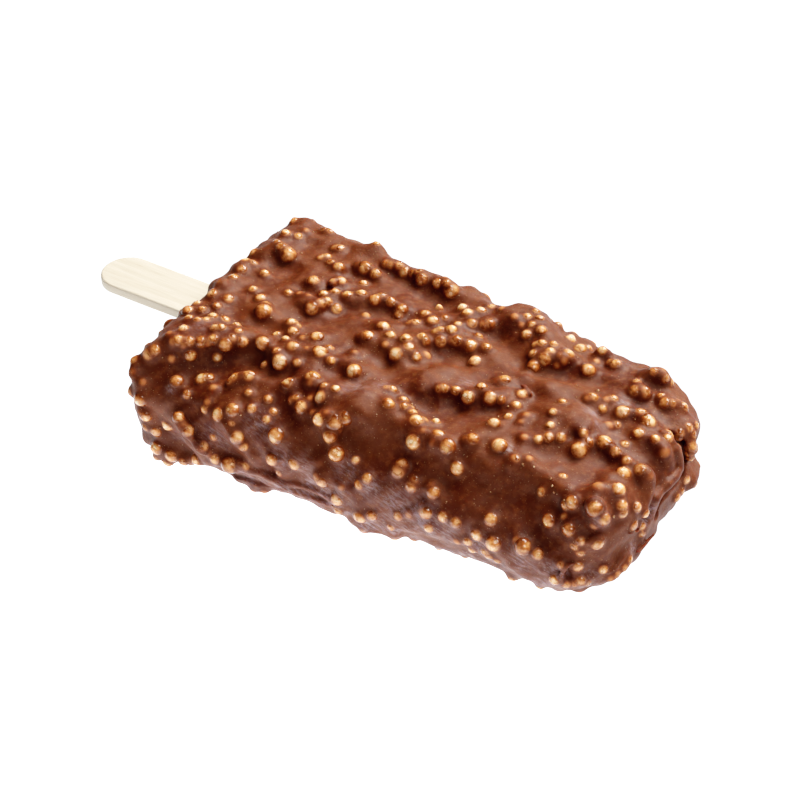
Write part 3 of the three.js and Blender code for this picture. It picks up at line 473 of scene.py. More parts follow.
class Field:
    """Values on a grid of points VOXEL apart."""

    def __init__(self, low, high):
        self.low = np.array(low, float)
        self.n = np.ceil((np.array(high) - self.low) / VOXEL).astype(int) + 1
        self.axes = [(self.low[k] + VOXEL * np.arange(self.n[k])).astype(F32) for k in range(3)]
        x, y, z = np.meshgrid(*self.axes, indexing="ij")
        self.p = np.stack([x, y, z], -1)
        self.v = smooth_max(slab(x, y, z), shoulder(x, y, z), 3.0)

    def part(self, pts, reach):
        """The slices round some points, and the x, y, z of the grid there."""
        pts = np.array(pts, float).reshape(-1, 3)
        a = np.clip(np.floor((pts.min(0) - reach - self.low) / VOXEL).astype(int), 0, self.n - 1)
        b = np.clip(np.ceil((pts.max(0) + reach - self.low) / VOXEL).astype(int) + 1, 1, self.n)
        s = tuple(slice(a[k], b[k]) for k in range(3))
        q = self.p[s]
        return s, q[..., 0], q[..., 1], q[..., 2]

    def at(self, p, v=None):
        v = self.v if v is None else v
        q = (p - self.low) / VOXEL
        q = np.clip(q, 0, self.n - 1.001)
        i = q.astype(int)
        f = q - i
        i0, i1 = i, i + 1
        x0, y0, z0, x1, y1, z1 = i0[:, 0], i0[:, 1], i0[:, 2], i1[:, 0], i1[:, 1], i1[:, 2]
        fx, fy, fz = f[:, 0], f[:, 1], f[:, 2]
        return (((v[x0, y0, z0] * (1 - fx) + v[x1, y0, z0] * fx) * (1 - fy) + (v[x0, y1, z0] * (1 - fx) + v[x1, y1, z0] * fx) * fy) * (1 - fz)
                + ((v[x0, y0, z1] * (1 - fx) + v[x1, y0, z1] * fx) * (1 - fy) + (v[x0, y1, z1] * (1 - fx) + v[x1, y1, z1] * fx) * fy) * fz)

    def normal(self, p, v=None, h=0.3):
        g = np.stack([self.at(p + np.eye(3)[k] * h, v) - self.at(p - np.eye(3)[k] * h, v) for k in range(3)], -1)
        return g / np.maximum(np.linalg.norm(g, axis=1, keepdims=True), 1e-9)

    def settle(self, p, v=None, turns=4):
        """Points moved onto the field's surface."""
        for _ in range(turns):
            p = p - self.normal(p, v) * np.clip(self.at(p, v), -1, 1)[:, None]
        return p


# ------------------------------------------------------------------ 1. the bare coat
field = Field((-3.2, -30.0, -0.9), (94.0, 30.0, 27.0))
P = field.p
X, Y, Z = P[..., 0], P[..., 1], P[..., 2]
relief = 1.1 * undulation(X, Y, Z)
for pts, spread, high in GENTLE:
    s, x, y, z = field.part(pts, spread * 2.6)
    d, _ = spine_distance(x, y, z, pts)
    relief[s] += high * np.exp(-(d / spread) ** 2)
near = np.abs(field.v) < 3.5
rough = np.zeros(field.v.shape, F32)
q = P[near]
rough[near] = 0.13 * noise(q, 4.2, 1) + 0.05 * noise(q, 1.9, 2) + 0.02 * noise(q, 0.9, 3)
relief += rough
field.v = field.v + INSET - relief * step(Z / 3.0)
for pts, spread, high in FOOT:
    s, x, y, z = field.part(pts, spread * 2.6)
    d, _ = spine_distance(x, y, z, pts)
    field.v[s] -= high * np.exp(-(d / spread) ** 2)
for pts, radius, blend in CUTS:
    s, x, y, z = field.part(pts, radius + blend + 0.8)
    d, along = spine_distance(x, y, z, pts)
    field.v[s] = smooth_max(field.v[s], radius - d, blend)
for pts, radius, blend in RIBS:
    s, x, y, z = field.part(pts, radius + blend + 0.8)
    d, along = spine_distance(x, y, z, pts)
    taper = 0.55 + 0.45 * step(np.minimum(along, 1 - along) * 5)
    field.v[s] = smooth_min(field.v[s], d - radius * taper, blend)
bare = field.v.copy()

# ------------------------------------------------------------------ 2. where the cereal balls are
rng = np.random.RandomState(7)
CAMERA_AT = np.array([183.45085, -230.60980, 228.53879])   # where the viewer stands, in the bar's mm


def coated(bare_radius):
    """A ball's radius with its chocolate, from the radius that shows bare."""
    return 1.16 * np.maximum(bare_radius, 0.52) + 0.08


def rise_of(covered):
    """How far a ball's middle lies above the chocolate round it, in radii."""
    return np.where(covered <= 0.12, 0.0, np.where(covered < 0.4, -0.12, -0.3))


seen = np.array(SEEN, float)
foot = field.settle(seen[:, :3], bare)
out = field.normal(foot, bare)
radius = coated(seen[:, 3])
cover = seen[:, 4]
rise = rise_of(cover) * radius
centres = [foot + out * rise[:, None]]
radii, covers, rises = [radius], [cover], [rise]


def scatter(count, allow, spacing, pick):
    """More balls of the same kind where the list above has none."""
    c, r, cv, up = [], [], [], []
    placed = np.concatenate(centres)
    placed_r = np.concatenate(radii)
    for _ in range(count * 14):
        if len(c) >= count:
            break
        p = pick()
        p = field.settle(p[None], bare, 8)
        n = field.normal(p, bare)
        if abs(field.at(p, bare)[0]) > 0.05 or not allow(p[0], n[0]):
            continue
        r0 = float(coated(np.clip(rng.normal(0.70, 0.15), 0.5, 1.1)))
        k0 = float(rng.choice([0.0, 0.05, 0.1, 0.2, 0.35, 0.6, 0.85], p=[.30, .2, .15, .12, .08, .08, .07]))
        u0 = (float(rise_of(np.array(k0))) + rng.uniform(-0.15, 0.1)) * r0
        q = p[0] + n[0] * u0
        if np.min(np.linalg.norm(placed - q, axis=1) - placed_r) < r0 * spacing:
            continue
        if c and np.min(np.linalg.norm(np.array(c) - q, axis=1) - np.array(r)) < r0 * spacing:
            continue
        c.append(q); r.append(r0); cv.append(k0); up.append(u0)
    centres.append(np.array(c)); radii.append(np.array(r)); covers.append(np.array(cv)); rises.append(np.array(up))


def clumped(p):
    """More balls where this is high, so that they lie in loose drifts and leave bare chocolate between."""
    return float(noise(p[None].astype(F32), 9.0, 11)[0] + 0.5 * noise(p[None].astype(F32), 4.0, 12)[0]) > rng.uniform(-0.75, 0.35)


def hidden(p, n):
    eye = CAMERA_AT - p
    return (n @ eye) / np.linalg.norm(eye) < -0.34


def on_side(p, n):
    return hidden(p, n) and n[2] > -0.75 and p[2] > 1.0 and clumped(p) and not (p[0] < 1.5 and abs(p[1] - STICK_Y) < 6.6 and abs(p[2] - STICK_Z) < 2.4)


def pick_side():
    return np.array([rng.uniform(-1, LENGTH + 1), rng.uniform(-26, 28), rng.uniform(0.5, 24)]) if rng.rand() < 0.15 else (
        np.array([rng.uniform(0, LENGTH), 28.0 - rng.uniform(0, 4), rng.uniform(0.5, 22)]) if rng.rand() < 0.55 else
        np.array([rng.uniform(-2, 1), rng.uniform(-26, 26), rng.uniform(0.5, 23)]) if rng.rand() < 0.7 else
        np.array([LENGTH + rng.uniform(-4, 1), rng.uniform(0, 21), rng.uniform(0.5, 19)]))


def under(p, n):
    return n[2] < -0.8 and clumped(p)


def pick_under():
    return np.array([rng.uniform(4, LENGTH - 4), rng.uniform(-22, 22), 0.4])


scatter(250, on_side, 0.92, pick_side)
scatter(210, under, 1.1, pick_under)
n_seen, n_side = len(radii[0]), len(radii[1])
centre = np.concatenate(centres)
radius = np.concatenate(radii)
cover = np.concatenate(covers)
rise = np.concatenate(rises)
low = (centre[:, 2] < 1.6)
centre[:, 2] = np.where(low, np.maximum(centre[:, 2], radius * 0.55), centre[:, 2])

# ------------------------------------------------------------------ 3. chocolate over the balls
def film_over(k):
    return 0.0 if k < 0.5 else 0.04 + 0.12 * k


def fillet(k, r):
    return (1.45 + 0.3 * k) * min(max(r, 0.65), 1.1)


whole = field.v
for c, r, k in zip(centre, radius, cover):
    s, x, y, z = field.part(c, r + 1.5)
    d = np.sqrt((x - c[0]) ** 2 + (y - c[1]) ** 2 + (z - c[2]) ** 2)
    whole[s] = smooth_min(whole[s], d - (r + film_over(k) - (0.05 if k < 0.5 else 0.0)), fillet(k, r))
# chocolate drawn a little way out along the stick, where it enters
s, x, y, z = field.part([(0, STICK_Y - 5, STICK_Z), (2, STICK_Y + 5, STICK_Z)], 2.6)
bx = np.abs(x - 0.6) - 1.5
by = np.abs(y - STICK_Y) - (STICK_WIDTH / 2 + 0.35)
bz = np.abs(z - STICK_Z) - (STICK_THICK / 2 + 0.35)
box = np.sqrt(np.maximum(bx, 0) ** 2 + np.maximum(by, 0) ** 2 + np.maximum(bz, 0) ** 2) + np.minimum(np.maximum(bx, np.maximum(by, bz)), 0) - 0.1
whole[s] = smooth_min(whole[s], box, 1.6)
# the face it lies on, a little uneven and just off the ground between the balls
ground = 0.10 + 0.10 * noise(P[:, :, 0], 3.0, 21)
whole = np.maximum(whole, ground[:, :, None] - Z)
for pts, wide, blend in CUTS[:2]:     # the gap by the lobe stays open between the balls beside it
    s, x, y, z = field.part(pts, wide + 0.8)
    d, along = spine_distance(x, y, z, pts)
    whole[s] = smooth_max(whole[s], wide * 0.82 - d, 0.2)
field.v = whole


# ------------------------------------------------------------------ surface of the field
def surface(f):
    """Quads round every grid edge that the surface crosses, one point in each crossed cell."""
    v = f.v
    inside = v < 0
    n = np.array(v.shape) - 1
    count = np.zeros(n, np.int8)
    for a in (0, 1):
        for b in (0, 1):
            for c in (0, 1):
                count += inside[a:n[0] + a, b:n[1] + b, c:n[2] + c]
    cell = (count > 0) & (count < 8)
    number = np.full(n, -1, np.int64)
    ijk = np.argwhere(cell)
    number[cell] = np.arange(len(ijk))
    total = np.zeros((len(ijk), 3))
    hits = np.zeros(len(ijk))
    for axis in range(3):
        others = [k for k in range(3) if k != axis]
        for b in (0, 1):
            for c in (0, 1):
                o = np.zeros(3, int)
                o[others[0]], o[others[1]] = b, c
                p = ijk + o
                q = p.copy()
                q[:, axis] += 1
                va, vb = v[tuple(p.T)], v[tuple(q.T)]
                m = (va < 0) != (vb < 0)
                t = va / np.where(m, va - vb, 1)
                w = p.astype(float)
                w[:, axis] += t
                total[m] += w[m]
                hits[m] += 1
    verts = total / hits[:, None] * VOXEL + f.low
    quads = []
    for axis in range(3):
        a, b = [(1, 2), (2, 0), (0, 1)][axis]
        lo = [slice(0, None)] * 3
        hi = [slice(0, None)] * 3
        lo[axis], hi[axis] = slice(0, -1), slice(1, None)
        cross = inside[tuple(lo)] != inside[tuple(hi)]
        e = np.argwhere(cross)
        e = e[(e[:, a] > 0) & (e[:, b] > 0) & (e[:, a] < n[a]) & (e[:, b] < n[b])]
        ids = []
        for da, db in ((-1, -1), (0, -1), (0, 0), (-1, 0)):
            k = e.copy()
            k[:, a] += da
            k[:, b] += db
            ids.append(number[tuple(k.T)])
        quad = np.stack(ids, 1)
        flip = ~inside[tuple(e.T)]
        quad[flip] = quad[flip][:, ::-1]
        quads.append(quad[(quad >= 0).all(1)])
    return verts, np.concatenate(quads)


def mesh_from(name, verts, faces):
    """A mesh from arrays, in the bar's mm, moved to the frame in metres."""
    me = bpy.data.meshes.new(name)
    k = faces.shape[1]
    me.vertices.add(len(verts))
    me.vertices.foreach_set("co", ((verts + OFFSET) * 0.001).astype(F32).ravel())
    me.loops.add(faces.size)
    me.loops.foreach_set("vertex_index", faces.astype(np.int32).ravel())
    me.polygons.add(len(faces))
    me.polygons.foreach_set("loop_start", np.arange(0, faces.size, k, dtype=np.int32))
    me.update(calc_edges=True)
    me.validate()
    me.polygons.foreach_set("use_smooth", np.ones(len(me.polygons), bool))
    ob = bpy.data.objects.new(name, me)
    bpy.context.scene.collection.objects.link(ob)
    return ob


def points_of(me):
    v = np.empty(len(me.vertices) * 3, F32)
    me.vertices.foreach_get("co", v)
    return v.reshape(-1, 3) * 1000.0 - OFFSET


def put(me, name, values):
    a = me.attributes.new(name, "FLOAT", "POINT")
    a.data.foreach_set("value", np.asarray(values, F32))


verts, quads = surface(field)
for _ in range(2):
    g = field.normal(verts, whole, 0.2)
    verts = verts - g * np.clip(field.at(verts), -0.25, 0.25)[:, None] * 0.8
verts[:, 2] = np.maximum(verts[:, 2], 0.02)
coat = mesh_from("chocolate_coat", verts, quads)
ratio = COAT_TRIANGLES / (2 * len(quads))
if ratio < 1:
    mod = coat.modifiers.new("fewer", "DECIMATE")
    mod.ratio = ratio
    done = bpy.data.meshes.new_from_object(coat.evaluated_get(bpy.context.evaluated_depsgraph_get()))
    coat.modifiers.clear()
    old, coat.data = coat.data, done
    bpy.data.meshes.remove(old)
    coat.data.name = "chocolate_coat"
    coat.data.polygons.foreach_set("use_smooth", np.ones(len(coat.data.polygons), bool))


# ------------------------------------------------------------------ how thick the chocolate is
def bloom_and_sheen_mask(p):
    """0 to 1: where the coat has a pale, finely speckled bloom. Part of it is real sugar bloom. Part of it is
    painted: highlights on lumps and lips, and a painted reflection of the bright floor in a band low on both long
    sides.
    """
    f = np.zeros(len(p))
    for (cx, cy, cz), size, much in BLOOM_SHEEN_SPOTS:
        d = np.sqrt(((p - np.array([cx, cy, cz])) ** 2).sum(1))
        f = np.maximum(f, much * np.exp(-(d / size) ** 2))
    # painted reflection: a pale band low on both long sides, where the bright floor is mirrored
    foot = step((11 - p[:, 2]) / 9) * step((np.abs(p[:, 1]) - 15) / 6) * step((p[:, 0] - 16) / 22)
    streak = noise((p * np.array([0.45, 1.0, 1.3]) + 7.0).astype(F32), 2.2, 61) + 0.6 * noise((p * np.array([0.5, 1.0, 1.0])).astype(F32), 0.8, 62)
    return np.maximum(f, foot * np.clip(0.42 + 0.5 * streak, 0.08, 0.95))


outward = field.normal(centre, bare, 0.6)
core_radius = radius - FILM_SIDE
bare_side = outward + np.array([0.28, -0.47, 0.30])     # the chocolate has run off towards the far side of each ball
bare_side /= np.linalg.norm(bare_side, axis=1)[:, None]
core = centre + bare_side * (FILM_SIDE * 0.95)


def film_at(q, k, height):
    """Chocolate over ball k at points q, mm: 0 is bare cereal, over 0.6 hides it."""
    thick = np.maximum(np.linalg.norm(q - core[k], axis=1) - core_radius[k], 0)
    low = np.clip(1 - height / max(rise[k] + radius[k], 0.2), 0, 1)
    return thick + BASE_FILM * low ** 3 + 0.06 * cover[k]


def coat_film(p):
    film = np.full(len(p), 2.0)
    order = np.argsort(p[:, 0])
    xs = p[order, 0]
    height = field.at(p, bare)
    for k, (c, r) in enumerate(zip(centre, radius)):
        a, b = np.searchsorted(xs, [c[0] - r - 1.0, c[0] + r + 1.0])
        i = order[a:b]
        i = i[np.linalg.norm(p[i] - c, axis=1) < r + 1.0]
        film[i] = np.minimum(film[i], film_at(p[i], k, height[i]))
    return film


p = points_of(coat.data).astype(float)
put(coat.data, "film", coat_film(p))
put(coat.data, "bloom_sheen_amount", bloom_and_sheen_mask(p))


def painted_crease_shade(p):
    """0 in the open to 1 deep in a crease: how much of the space just outside is chocolate. It drives the painted
    shade that darkens the coat's colour in creases and hollows.
    """
    n = field.normal(p, whole, 0.4)
    return sum(np.clip(1 - field.at(p + n * d) / d, 0, 1) * w for d, w in ((0.7, 0.25), (1.5, 0.35), (3.0, 0.4)))


put(coat.data, "crease_shade", painted_crease_shade(p))


# ------------------------------------------------------------------ 4. the cereal balls
def ball_mesh(n):
    """A unit ball: each face of an icosahedron split into n x n triangles."""
    g = (1 + 5 ** 0.5) / 2
    v = np.array([(-1, g, 0), (1, g, 0), (-1, -g, 0), (1, -g, 0), (0, -1, g), (0, 1, g), (0, -1, -g), (0, 1, -g), (g, 0, -1), (g, 0, 1), (-g, 0, -1), (-g, 0, 1)], float)
    faces = [(0, 11, 5), (0, 5, 1), (0, 1, 7), (0, 7, 10), (0, 10, 11), (1, 5, 9), (5, 11, 4), (11, 10, 2), (10, 7, 6), (7, 1, 8), (3, 9, 4), (3, 4, 2), (3, 2, 6), (3, 6, 8), (3, 8, 9), (4, 9, 5), (2, 4, 11), (6, 2, 10), (8, 6, 7), (9, 8, 1)]
    seen_at, pts, tris = {}, [], []

    def index(p):
        p = p / np.linalg.norm(p)
        key = tuple(np.round(p, 5))
        if key not in seen_at:
            seen_at[key] = len(pts)
            pts.append(p)
        return seen_at[key]

    for a, b, c in faces:
        grid = {}
        for i in range(n + 1):
            for j in range(n + 1 - i):
                grid[i, j] = index((v[a] * (n - i - j) + v[b] * i + v[c] * j) / n)
        for i in range(n):
            for j in range(n - i):
                tris.append((grid[i, j], grid[i + 1, j], grid[i, j + 1]))
                if i + j < n - 1:
                    tris.append((grid[i + 1, j], grid[i + 1, j + 1], grid[i, j + 1]))
    return np.array(pts), np.array(tris)


def cap_mesh(around, rings, down):
    """Directions and triangles of a ball seen from its outward pole: close rings on the side that
    shows, and a few wide ones under the chocolate."""
    tilt = list(np.radians(122) * (np.arange(1, rings + 1) / rings) ** 0.95) + [math.radians(a) for a in down]
    pts, tris = [(0.0, 0.0, 1.0)], []
    for r, a in enumerate(tilt):
        for k in range(around):
            b = 2 * math.pi * (k + 0.5 * (r % 2)) / around
            pts.append((math.sin(a) * math.cos(b), math.sin(a) * math.sin(b), math.cos(a)))
    pts.append((0.0, 0.0, -1.0))
    for k in range(around):
        tris.append((0, 1 + k, 1 + (k + 1) % around))
    for r in range(len(tilt) - 1):
        a, b = 1 + r * around, 1 + (r + 1) * around
        for k in range(around):
            j = (k + 1) % around
            if r % 2 == 0:
                tris += [(a + k, b + k, a + j), (a + j, b + k, b + j)]
            else:
                tris += [(a + k, b + k, b + j), (a + k, b + j, a + j)]
    a, last = 1 + (len(tilt) - 1) * around, len(pts) - 1
    for k in range(around):
        tris.append((last, a + (k + 1) % around, a + k))
    return np.array(pts), np.array(tris)


FINE, MIDDLE, COARSE = cap_mesh(20, 9, (155,)), cap_mesh(16, 7, (155,)), cap_mesh(12, 4, ())
rng = np.random.RandomState(23)
all_v, all_f, all_film, all_tint, base = [], [], [], [], 0
for k in range(len(radius)):
    if cover[k] >= 0.5:
        continue        # wholly under chocolate: only its bump shows
    vv, ff = (FINE if radius[k] > 0.98 else MIDDLE) if k < n_seen + n_side else COARSE
    c, R = centre[k], radius[k]
    pole = outward[k]
    side = np.cross(pole, rng.normal(size=3))
    side /= np.linalg.norm(side)
    u = vv @ np.array([side, np.cross(pole, side), pole])
    close = np.where(np.linalg.norm(centre - c, axis=1) < radius + R + 1.0)[0]
    t = np.full(len(u), R * 0.97)
    for _ in range(9):       # out along each direction to where the chocolate's surface is
        q = c + u * t[:, None]
        value = field.at(q, bare)
        for j in close:
            value = smooth_min(value, np.linalg.norm(q - centre[j], axis=1) - (radius[j] + film_over(cover[j])), fillet(cover[j], radius[j]))
        t = np.clip(t - value * 0.9, 0.5 * R, 1.2 * R)
    lump = noise((u * 1.1 + k * 3.7).astype(F32), 1.0, 31) * 0.060 + noise((u * 2.3 + k * 1.9).astype(F32), 1.0, 32) * 0.030
    for _ in range(rng.randint(0, 3)):       # small pits where the grain popped
        d = u @ (lambda a: a / np.linalg.norm(a))(pole * 0.8 + rng.normal(size=3))
        lump = lump - rng.uniform(0.06, 0.16) * np.exp(-((1 - d) / rng.uniform(0.015, 0.06)))
    shows = step(((u @ pole) + 0.25) / 0.6)
    q = c + u * (t + R * lump * shows)[:, None]
    q[:, 2] = np.maximum(q[:, 2], 0.0)
    patch = noise(q.astype(F32), 0.8, 33)
    film = film_at(q, k, field.at(q, bare)) + 0.045 * patch - np.minimum(R * lump * shows + 0.02, 0) * 1.8
    all_v.append(q); all_f.append(ff + base); base += len(q)
    all_film.append(film)
    all_tint.append(np.full(len(q), rng.rand()))
puffs = mesh_from("puffed_cereal", np.concatenate(all_v), np.concatenate(all_f))
put(puffs.data, "film", np.concatenate(all_film))
put(puffs.data, "tint", np.concatenate(all_tint))
print("balls", sum(cover < 0.5), "of", len(cover), "triangles", len(puffs.data.polygons), "coat", len(coat.data.polygons))

# ------------------------------------------------------------------ 5. crumbs
rng = np.random.RandomState(41)
vv, ff = ball_mesh(2)
cv, cf, base = [], [], 0
spots = [np.array(c, float) for c in CRUMBS]
for _ in range(340):
    spots.append(np.array([rng.uniform(1, LENGTH), rng.uniform(-27, 27), rng.uniform(3, 24)]))
spots = field.settle(np.array(spots), whole, 6)
lift = field.normal(spots, whole)
for k, (c, n) in enumerate(zip(spots, lift)):
    if abs(field.at(c[None])[0]) > 0.1 or n[2] < -0.3:
        continue
    size = rng.uniform(0.12, 0.24) if k < len(CRUMBS) else rng.uniform(0.05, 0.13)
    turn = np.linalg.qr(rng.normal(size=(3, 3)))[0]
    u = (vv * (1 + 0.22 * rng.normal(size=(len(vv), 1)))) * rng.uniform(0.7, 1.25, 3)
    if np.linalg.det(turn) < 0:
        turn[:, 0] *= -1
    cv.append(c + n * size * 0.25 + u @ turn.T * size)
    cf.append(ff + base)
    base += len(vv)
crumbs = mesh_from("cereal_crumbs", np.concatenate(cv), np.concatenate(cf))


# ------------------------------------------------------------------ 6. the stick
def stick_mesh():
    """A flat stick with a half-round end, its edges softened by sanding, its faces very slightly uneven."""
    x0, x1, half, thick, soft = -STICK_SHOWS, 62.0, STICK_WIDTH / 2, STICK_THICK / 2, 0.4
    xs = np.concatenate([x0 + half * (1 - np.cos(np.linspace(0.12, math.pi / 2, 26))), np.linspace(x0 + half, 3.0, 70)[1:], np.linspace(3.0, x1, 12)[1:]])
    ss = np.sin(np.linspace(-math.pi / 2, math.pi / 2, 41))
    dx = np.clip(x0 + half - xs, 0, half)
    wide = np.sqrt(half ** 2 - dx ** 2)
    y = wide[:, None] * ss[None, :]
    x = np.repeat(xs[:, None], len(ss), 1)
    rim = half - np.hypot(np.maximum(x0 + half - x, 0), y)
    z = thick - soft + np.sqrt(np.maximum(soft ** 2 - np.maximum(soft - rim, 0) ** 2, 0))
    top = np.stack([x, y, z], -1).reshape(-1, 3)
    bottom = top * np.array([1, 1, -1.0])
    for q, seed in ((top, 51), (bottom, 53)):
        along = (q * np.array([0.16, 1, 0])).astype(F32)
        q[:, 2] += 0.03 * noise(along, 2.2, seed) + 0.022 * noise(along, 0.6, seed + 1)
    nx, ns = len(xs), len(ss)
    at = np.arange(nx * ns).reshape(nx, ns)
    a = np.stack([at[:-1, :-1], at[1:, :-1], at[1:, 1:], at[:-1, 1:]], -1).reshape(-1, 4)
    loop = np.concatenate([at[:, 0], at[-1, 1:], at[-2::-1, -1], at[0, -2:0:-1]])
    nxt = np.roll(loop, -1)
    n = nx * ns
    wall = np.stack([loop, loop + n, nxt + n, nxt], -1)
    return np.concatenate([top, bottom]), np.concatenate([a, a[:, ::-1] + n, wall])


sv, sf = stick_mesh()
stick = mesh_from("wooden_stick", sv + np.array([0, STICK_Y, STICK_Z]), sf)


# ------------------------------------------------------------------ materials
class Nodes:
    def __init__(self, name):
        self.m = bpy.data.materials.new(name)
        self.m.use_nodes = True
        self.t = self.m.node_tree
        self.bsdf = self.t.nodes["Principled BSDF"]

    def new(self, kind, **inputs):
        n = self.t.nodes.new(kind)
        for k, v in inputs.items():
            k = k.replace("_", " ")
            if k in n.inputs.keys():
                self.put(n.inputs[k], v)
            else:
                setattr(n, k.replace(" ", "_"), v)
        return n

    def put(self, socket, v):
        if isinstance(v, bpy.types.NodeSocket):
            self.t.links.new(v, socket)
        else:
            socket.default_value = v

    def attribute(self, name):
        n = self.t.nodes.new("ShaderNodeAttribute")
        n.attribute_type = "GEOMETRY"
        n.attribute_name = name
        return n.outputs["Fac"]

    def place(self):
        return self.t.nodes.new("ShaderNodeTexCoord").outputs["Object"]

    def noise(self, size_mm, detail=2.0, rough=0.5, at=None, lean=0.0):
        n = self.t.nodes.new("ShaderNodeTexNoise")
        self.put(n.inputs["Vector"], at if at is not None else self.place())
        n.inputs["Scale"].default_value = 1000.0 / size_mm
        n.inputs["Detail"].default_value = detail
        n.inputs["Roughness"].default_value = rough
        n.inputs["Distortion"].default_value = lean
        return n.outputs["Fac"]

    def math(self, op, a, b=None, c=None):
        n = self.t.nodes.new("ShaderNodeMath")
        n.operation = op
        for k, v in enumerate((a, b, c)):
            if v is not None:
                self.put(n.inputs[k], v)
        return n.outputs[0]

    def span(self, v, a, b, c=0.0, d=1.0, smooth=True):
        n = self.t.nodes.new("ShaderNodeMapRange")
        n.interpolation_type = "SMOOTHSTEP" if smooth else "LINEAR"
        self.put(n.inputs["Value"], v)
        for key, x in zip(("From Min", "From Max", "To Min", "To Max"), (a, b, c, d)):
            n.inputs[key].default_value = x
        return n.outputs["Result"]

    def mix(self, f, a, b, how="MIX"):
        n = self.t.nodes.new("ShaderNodeMix")
        n.data_type = "RGBA"
        n.blend_type = how
        self.put(n.inputs["Factor"], f)
        for s, v in ((n.inputs[6], a), (n.inputs[7], b)):
            self.put(s, v if isinstance(v, bpy.types.NodeSocket) else (*v, 1.0))
        return n.outputs[2]

    def ramp(self, v, stops):
        n = self.t.nodes.new("ShaderNodeValToRGB")
        self.put(n.inputs["Fac"], v)
        e = n.color_ramp.elements
        while len(e) > 1:
            e.remove(e[-1])
        e[0].position, e[0].color = stops[0][0], (*stops[0][1], 1)
        for at, c in stops[1:]:
            x = e.new(at)
            x.color = (*c, 1)
        return n.outputs["Color"]

    def bump(self, height, distance_mm, strength=1.0, onto=None):
        n = self.t.nodes.new("ShaderNodeBump")
        n.inputs["Strength"].default_value = strength
        n.inputs["Distance"].default_value = distance_mm * 0.001
        self.put(n.inputs["Height"], height)
        if onto is not None:
            self.put(n.inputs["Normal"], onto)
        return n.outputs["Normal"]


PALE = (0.96, 0.65, 0.42)
GOLD = (0.88, 0.505, 0.28)
HONEY = (0.78, 0.405, 0.193)
TAN = (0.64, 0.288, 0.121)
AMBER = (0.42, 0.158, 0.056)
BROWN = (0.21, 0.061, 0.0195)
CHOCOLATE = (0.125, 0.0330, 0.0104)
CHOCOLATE_DEEP = (0.095, 0.0205, 0.0066)
CHOCOLATE_PALE = (0.156, 0.046, 0.0158)
# painted shade: the dark colour put into creases and hollows
CREASE_SHADE = (0.088, 0.0165, 0.005)
SPECK_GLINT = (0.48, 0.30, 0.18)
# pale colour of the sugar bloom, also used for the painted sheen and the painted reflection of the floor
BLOOM_SHEEN_COLOUR = (0.42, 0.33, 0.345)
FILM_COLOURS = [(0.0, PALE), (0.03, GOLD), (0.075, HONEY), (0.13, TAN), (0.215, AMBER), (0.34, BROWN), (0.52, CHOCOLATE)]


def chocolate():
    k = Nodes("chocolate")
    film = k.attribute("film")
    bloom_sheen_amount = k.attribute("bloom_sheen_amount")
    broad = k.noise(9.0, 2.0)
    fine = k.noise(1.1, 3.0, 0.6)
    grain = k.noise(0.34, 3.0, 0.65)
    base = k.mix(k.span(broad, 0.35, 0.65), CHOCOLATE_DEEP, CHOCOLATE)
    base = k.mix(k.span(fine, 0.42, 0.72), base, CHOCOLATE_PALE)
    # painted shade: the colour is darkened in creases and hollows, where shade falls
    crease_shade = k.span(k.attribute("crease_shade"), 0.12, 0.62)
    base = k.mix(k.math("MULTIPLY", crease_shade, 0.45), base, CREASE_SHADE)
    shifted = k.math("ADD", film, k.math("MULTIPLY", k.math("SUBTRACT", fine, 0.5), 0.10))
    over = k.ramp(shifted, FILM_COLOURS)
    colour = k.mix(k.span(shifted, 0.28, 0.58), over, base)
    # tiny pale specks: partly real sugar-bloom grains, partly painted glints
    speck_glint = k.span(k.noise(0.26, 1.0, 0.5), 0.70, 0.76)
    colour = k.mix(k.math("MULTIPLY", speck_glint, 0.5), colour, SPECK_GLINT)
    run = k.t.nodes.new("ShaderNodeCombineXYZ")      # the bloom and its painted sheen lie in short streaks that lean down towards the tip
    for slot, axis in enumerate(((0.26, 0.0, -0.11), (0.0, 1.0, 0.0), (0.38, 0.0, 0.93))):
        part = k.t.nodes.new("ShaderNodeVectorMath")
        part.operation = "DOT_PRODUCT"
        k.put(part.inputs[0], k.place())
        part.inputs[1].default_value = axis
        k.put(run.inputs[slot], part.outputs["Value"])
    streaks = k.noise(0.45, 4.0, 0.7, run.outputs["Vector"])
    # painted sheen: the pale bloom colour, partly real sugar bloom and partly painted highlights and floor
    # reflection
    bloom_sheen_mix = k.math("MULTIPLY", bloom_sheen_amount, k.span(streaks, 0.42, 0.62, 0.2, 1.0))
    colour = k.mix(k.math("MULTIPLY", bloom_sheen_mix, 0.7), colour, BLOOM_SHEEN_COLOUR)
    rough = k.math("ADD", k.span(broad, 0.3, 0.7, 0.50, 0.60), k.math("MULTIPLY", bloom_sheen_mix, 0.2))
    k.put(k.bsdf.inputs["Base Color"], colour)
    k.put(k.bsdf.inputs["Roughness"], rough)
    k.bsdf.inputs["Specular IOR Level"].default_value = 0.27
    k.bsdf.inputs["Subsurface Weight"].default_value = 0.35
    k.bsdf.inputs["Subsurface Radius"].default_value = (1.0, 0.3, 0.12)
    k.bsdf.inputs["Subsurface Scale"].default_value = 0.0018
    sandy = k.span(k.noise(4.5, 2.0), 0.42, 0.62)
    n = k.bump(k.noise(0.9, 3.0, 0.55), 0.07, 0.65)
    n = k.bump(grain, 0.06, 0.8, n)
    n = k.bump(k.math("MULTIPLY", bloom_sheen_amount, streaks), 0.12, 0.8, n)
    n = k.bump(k.math("MULTIPLY", sandy, k.noise(0.2, 2.0, 0.6)), 0.1, 0.9, n)
    k.put(k.bsdf.inputs["Normal"], n)
    return k.m


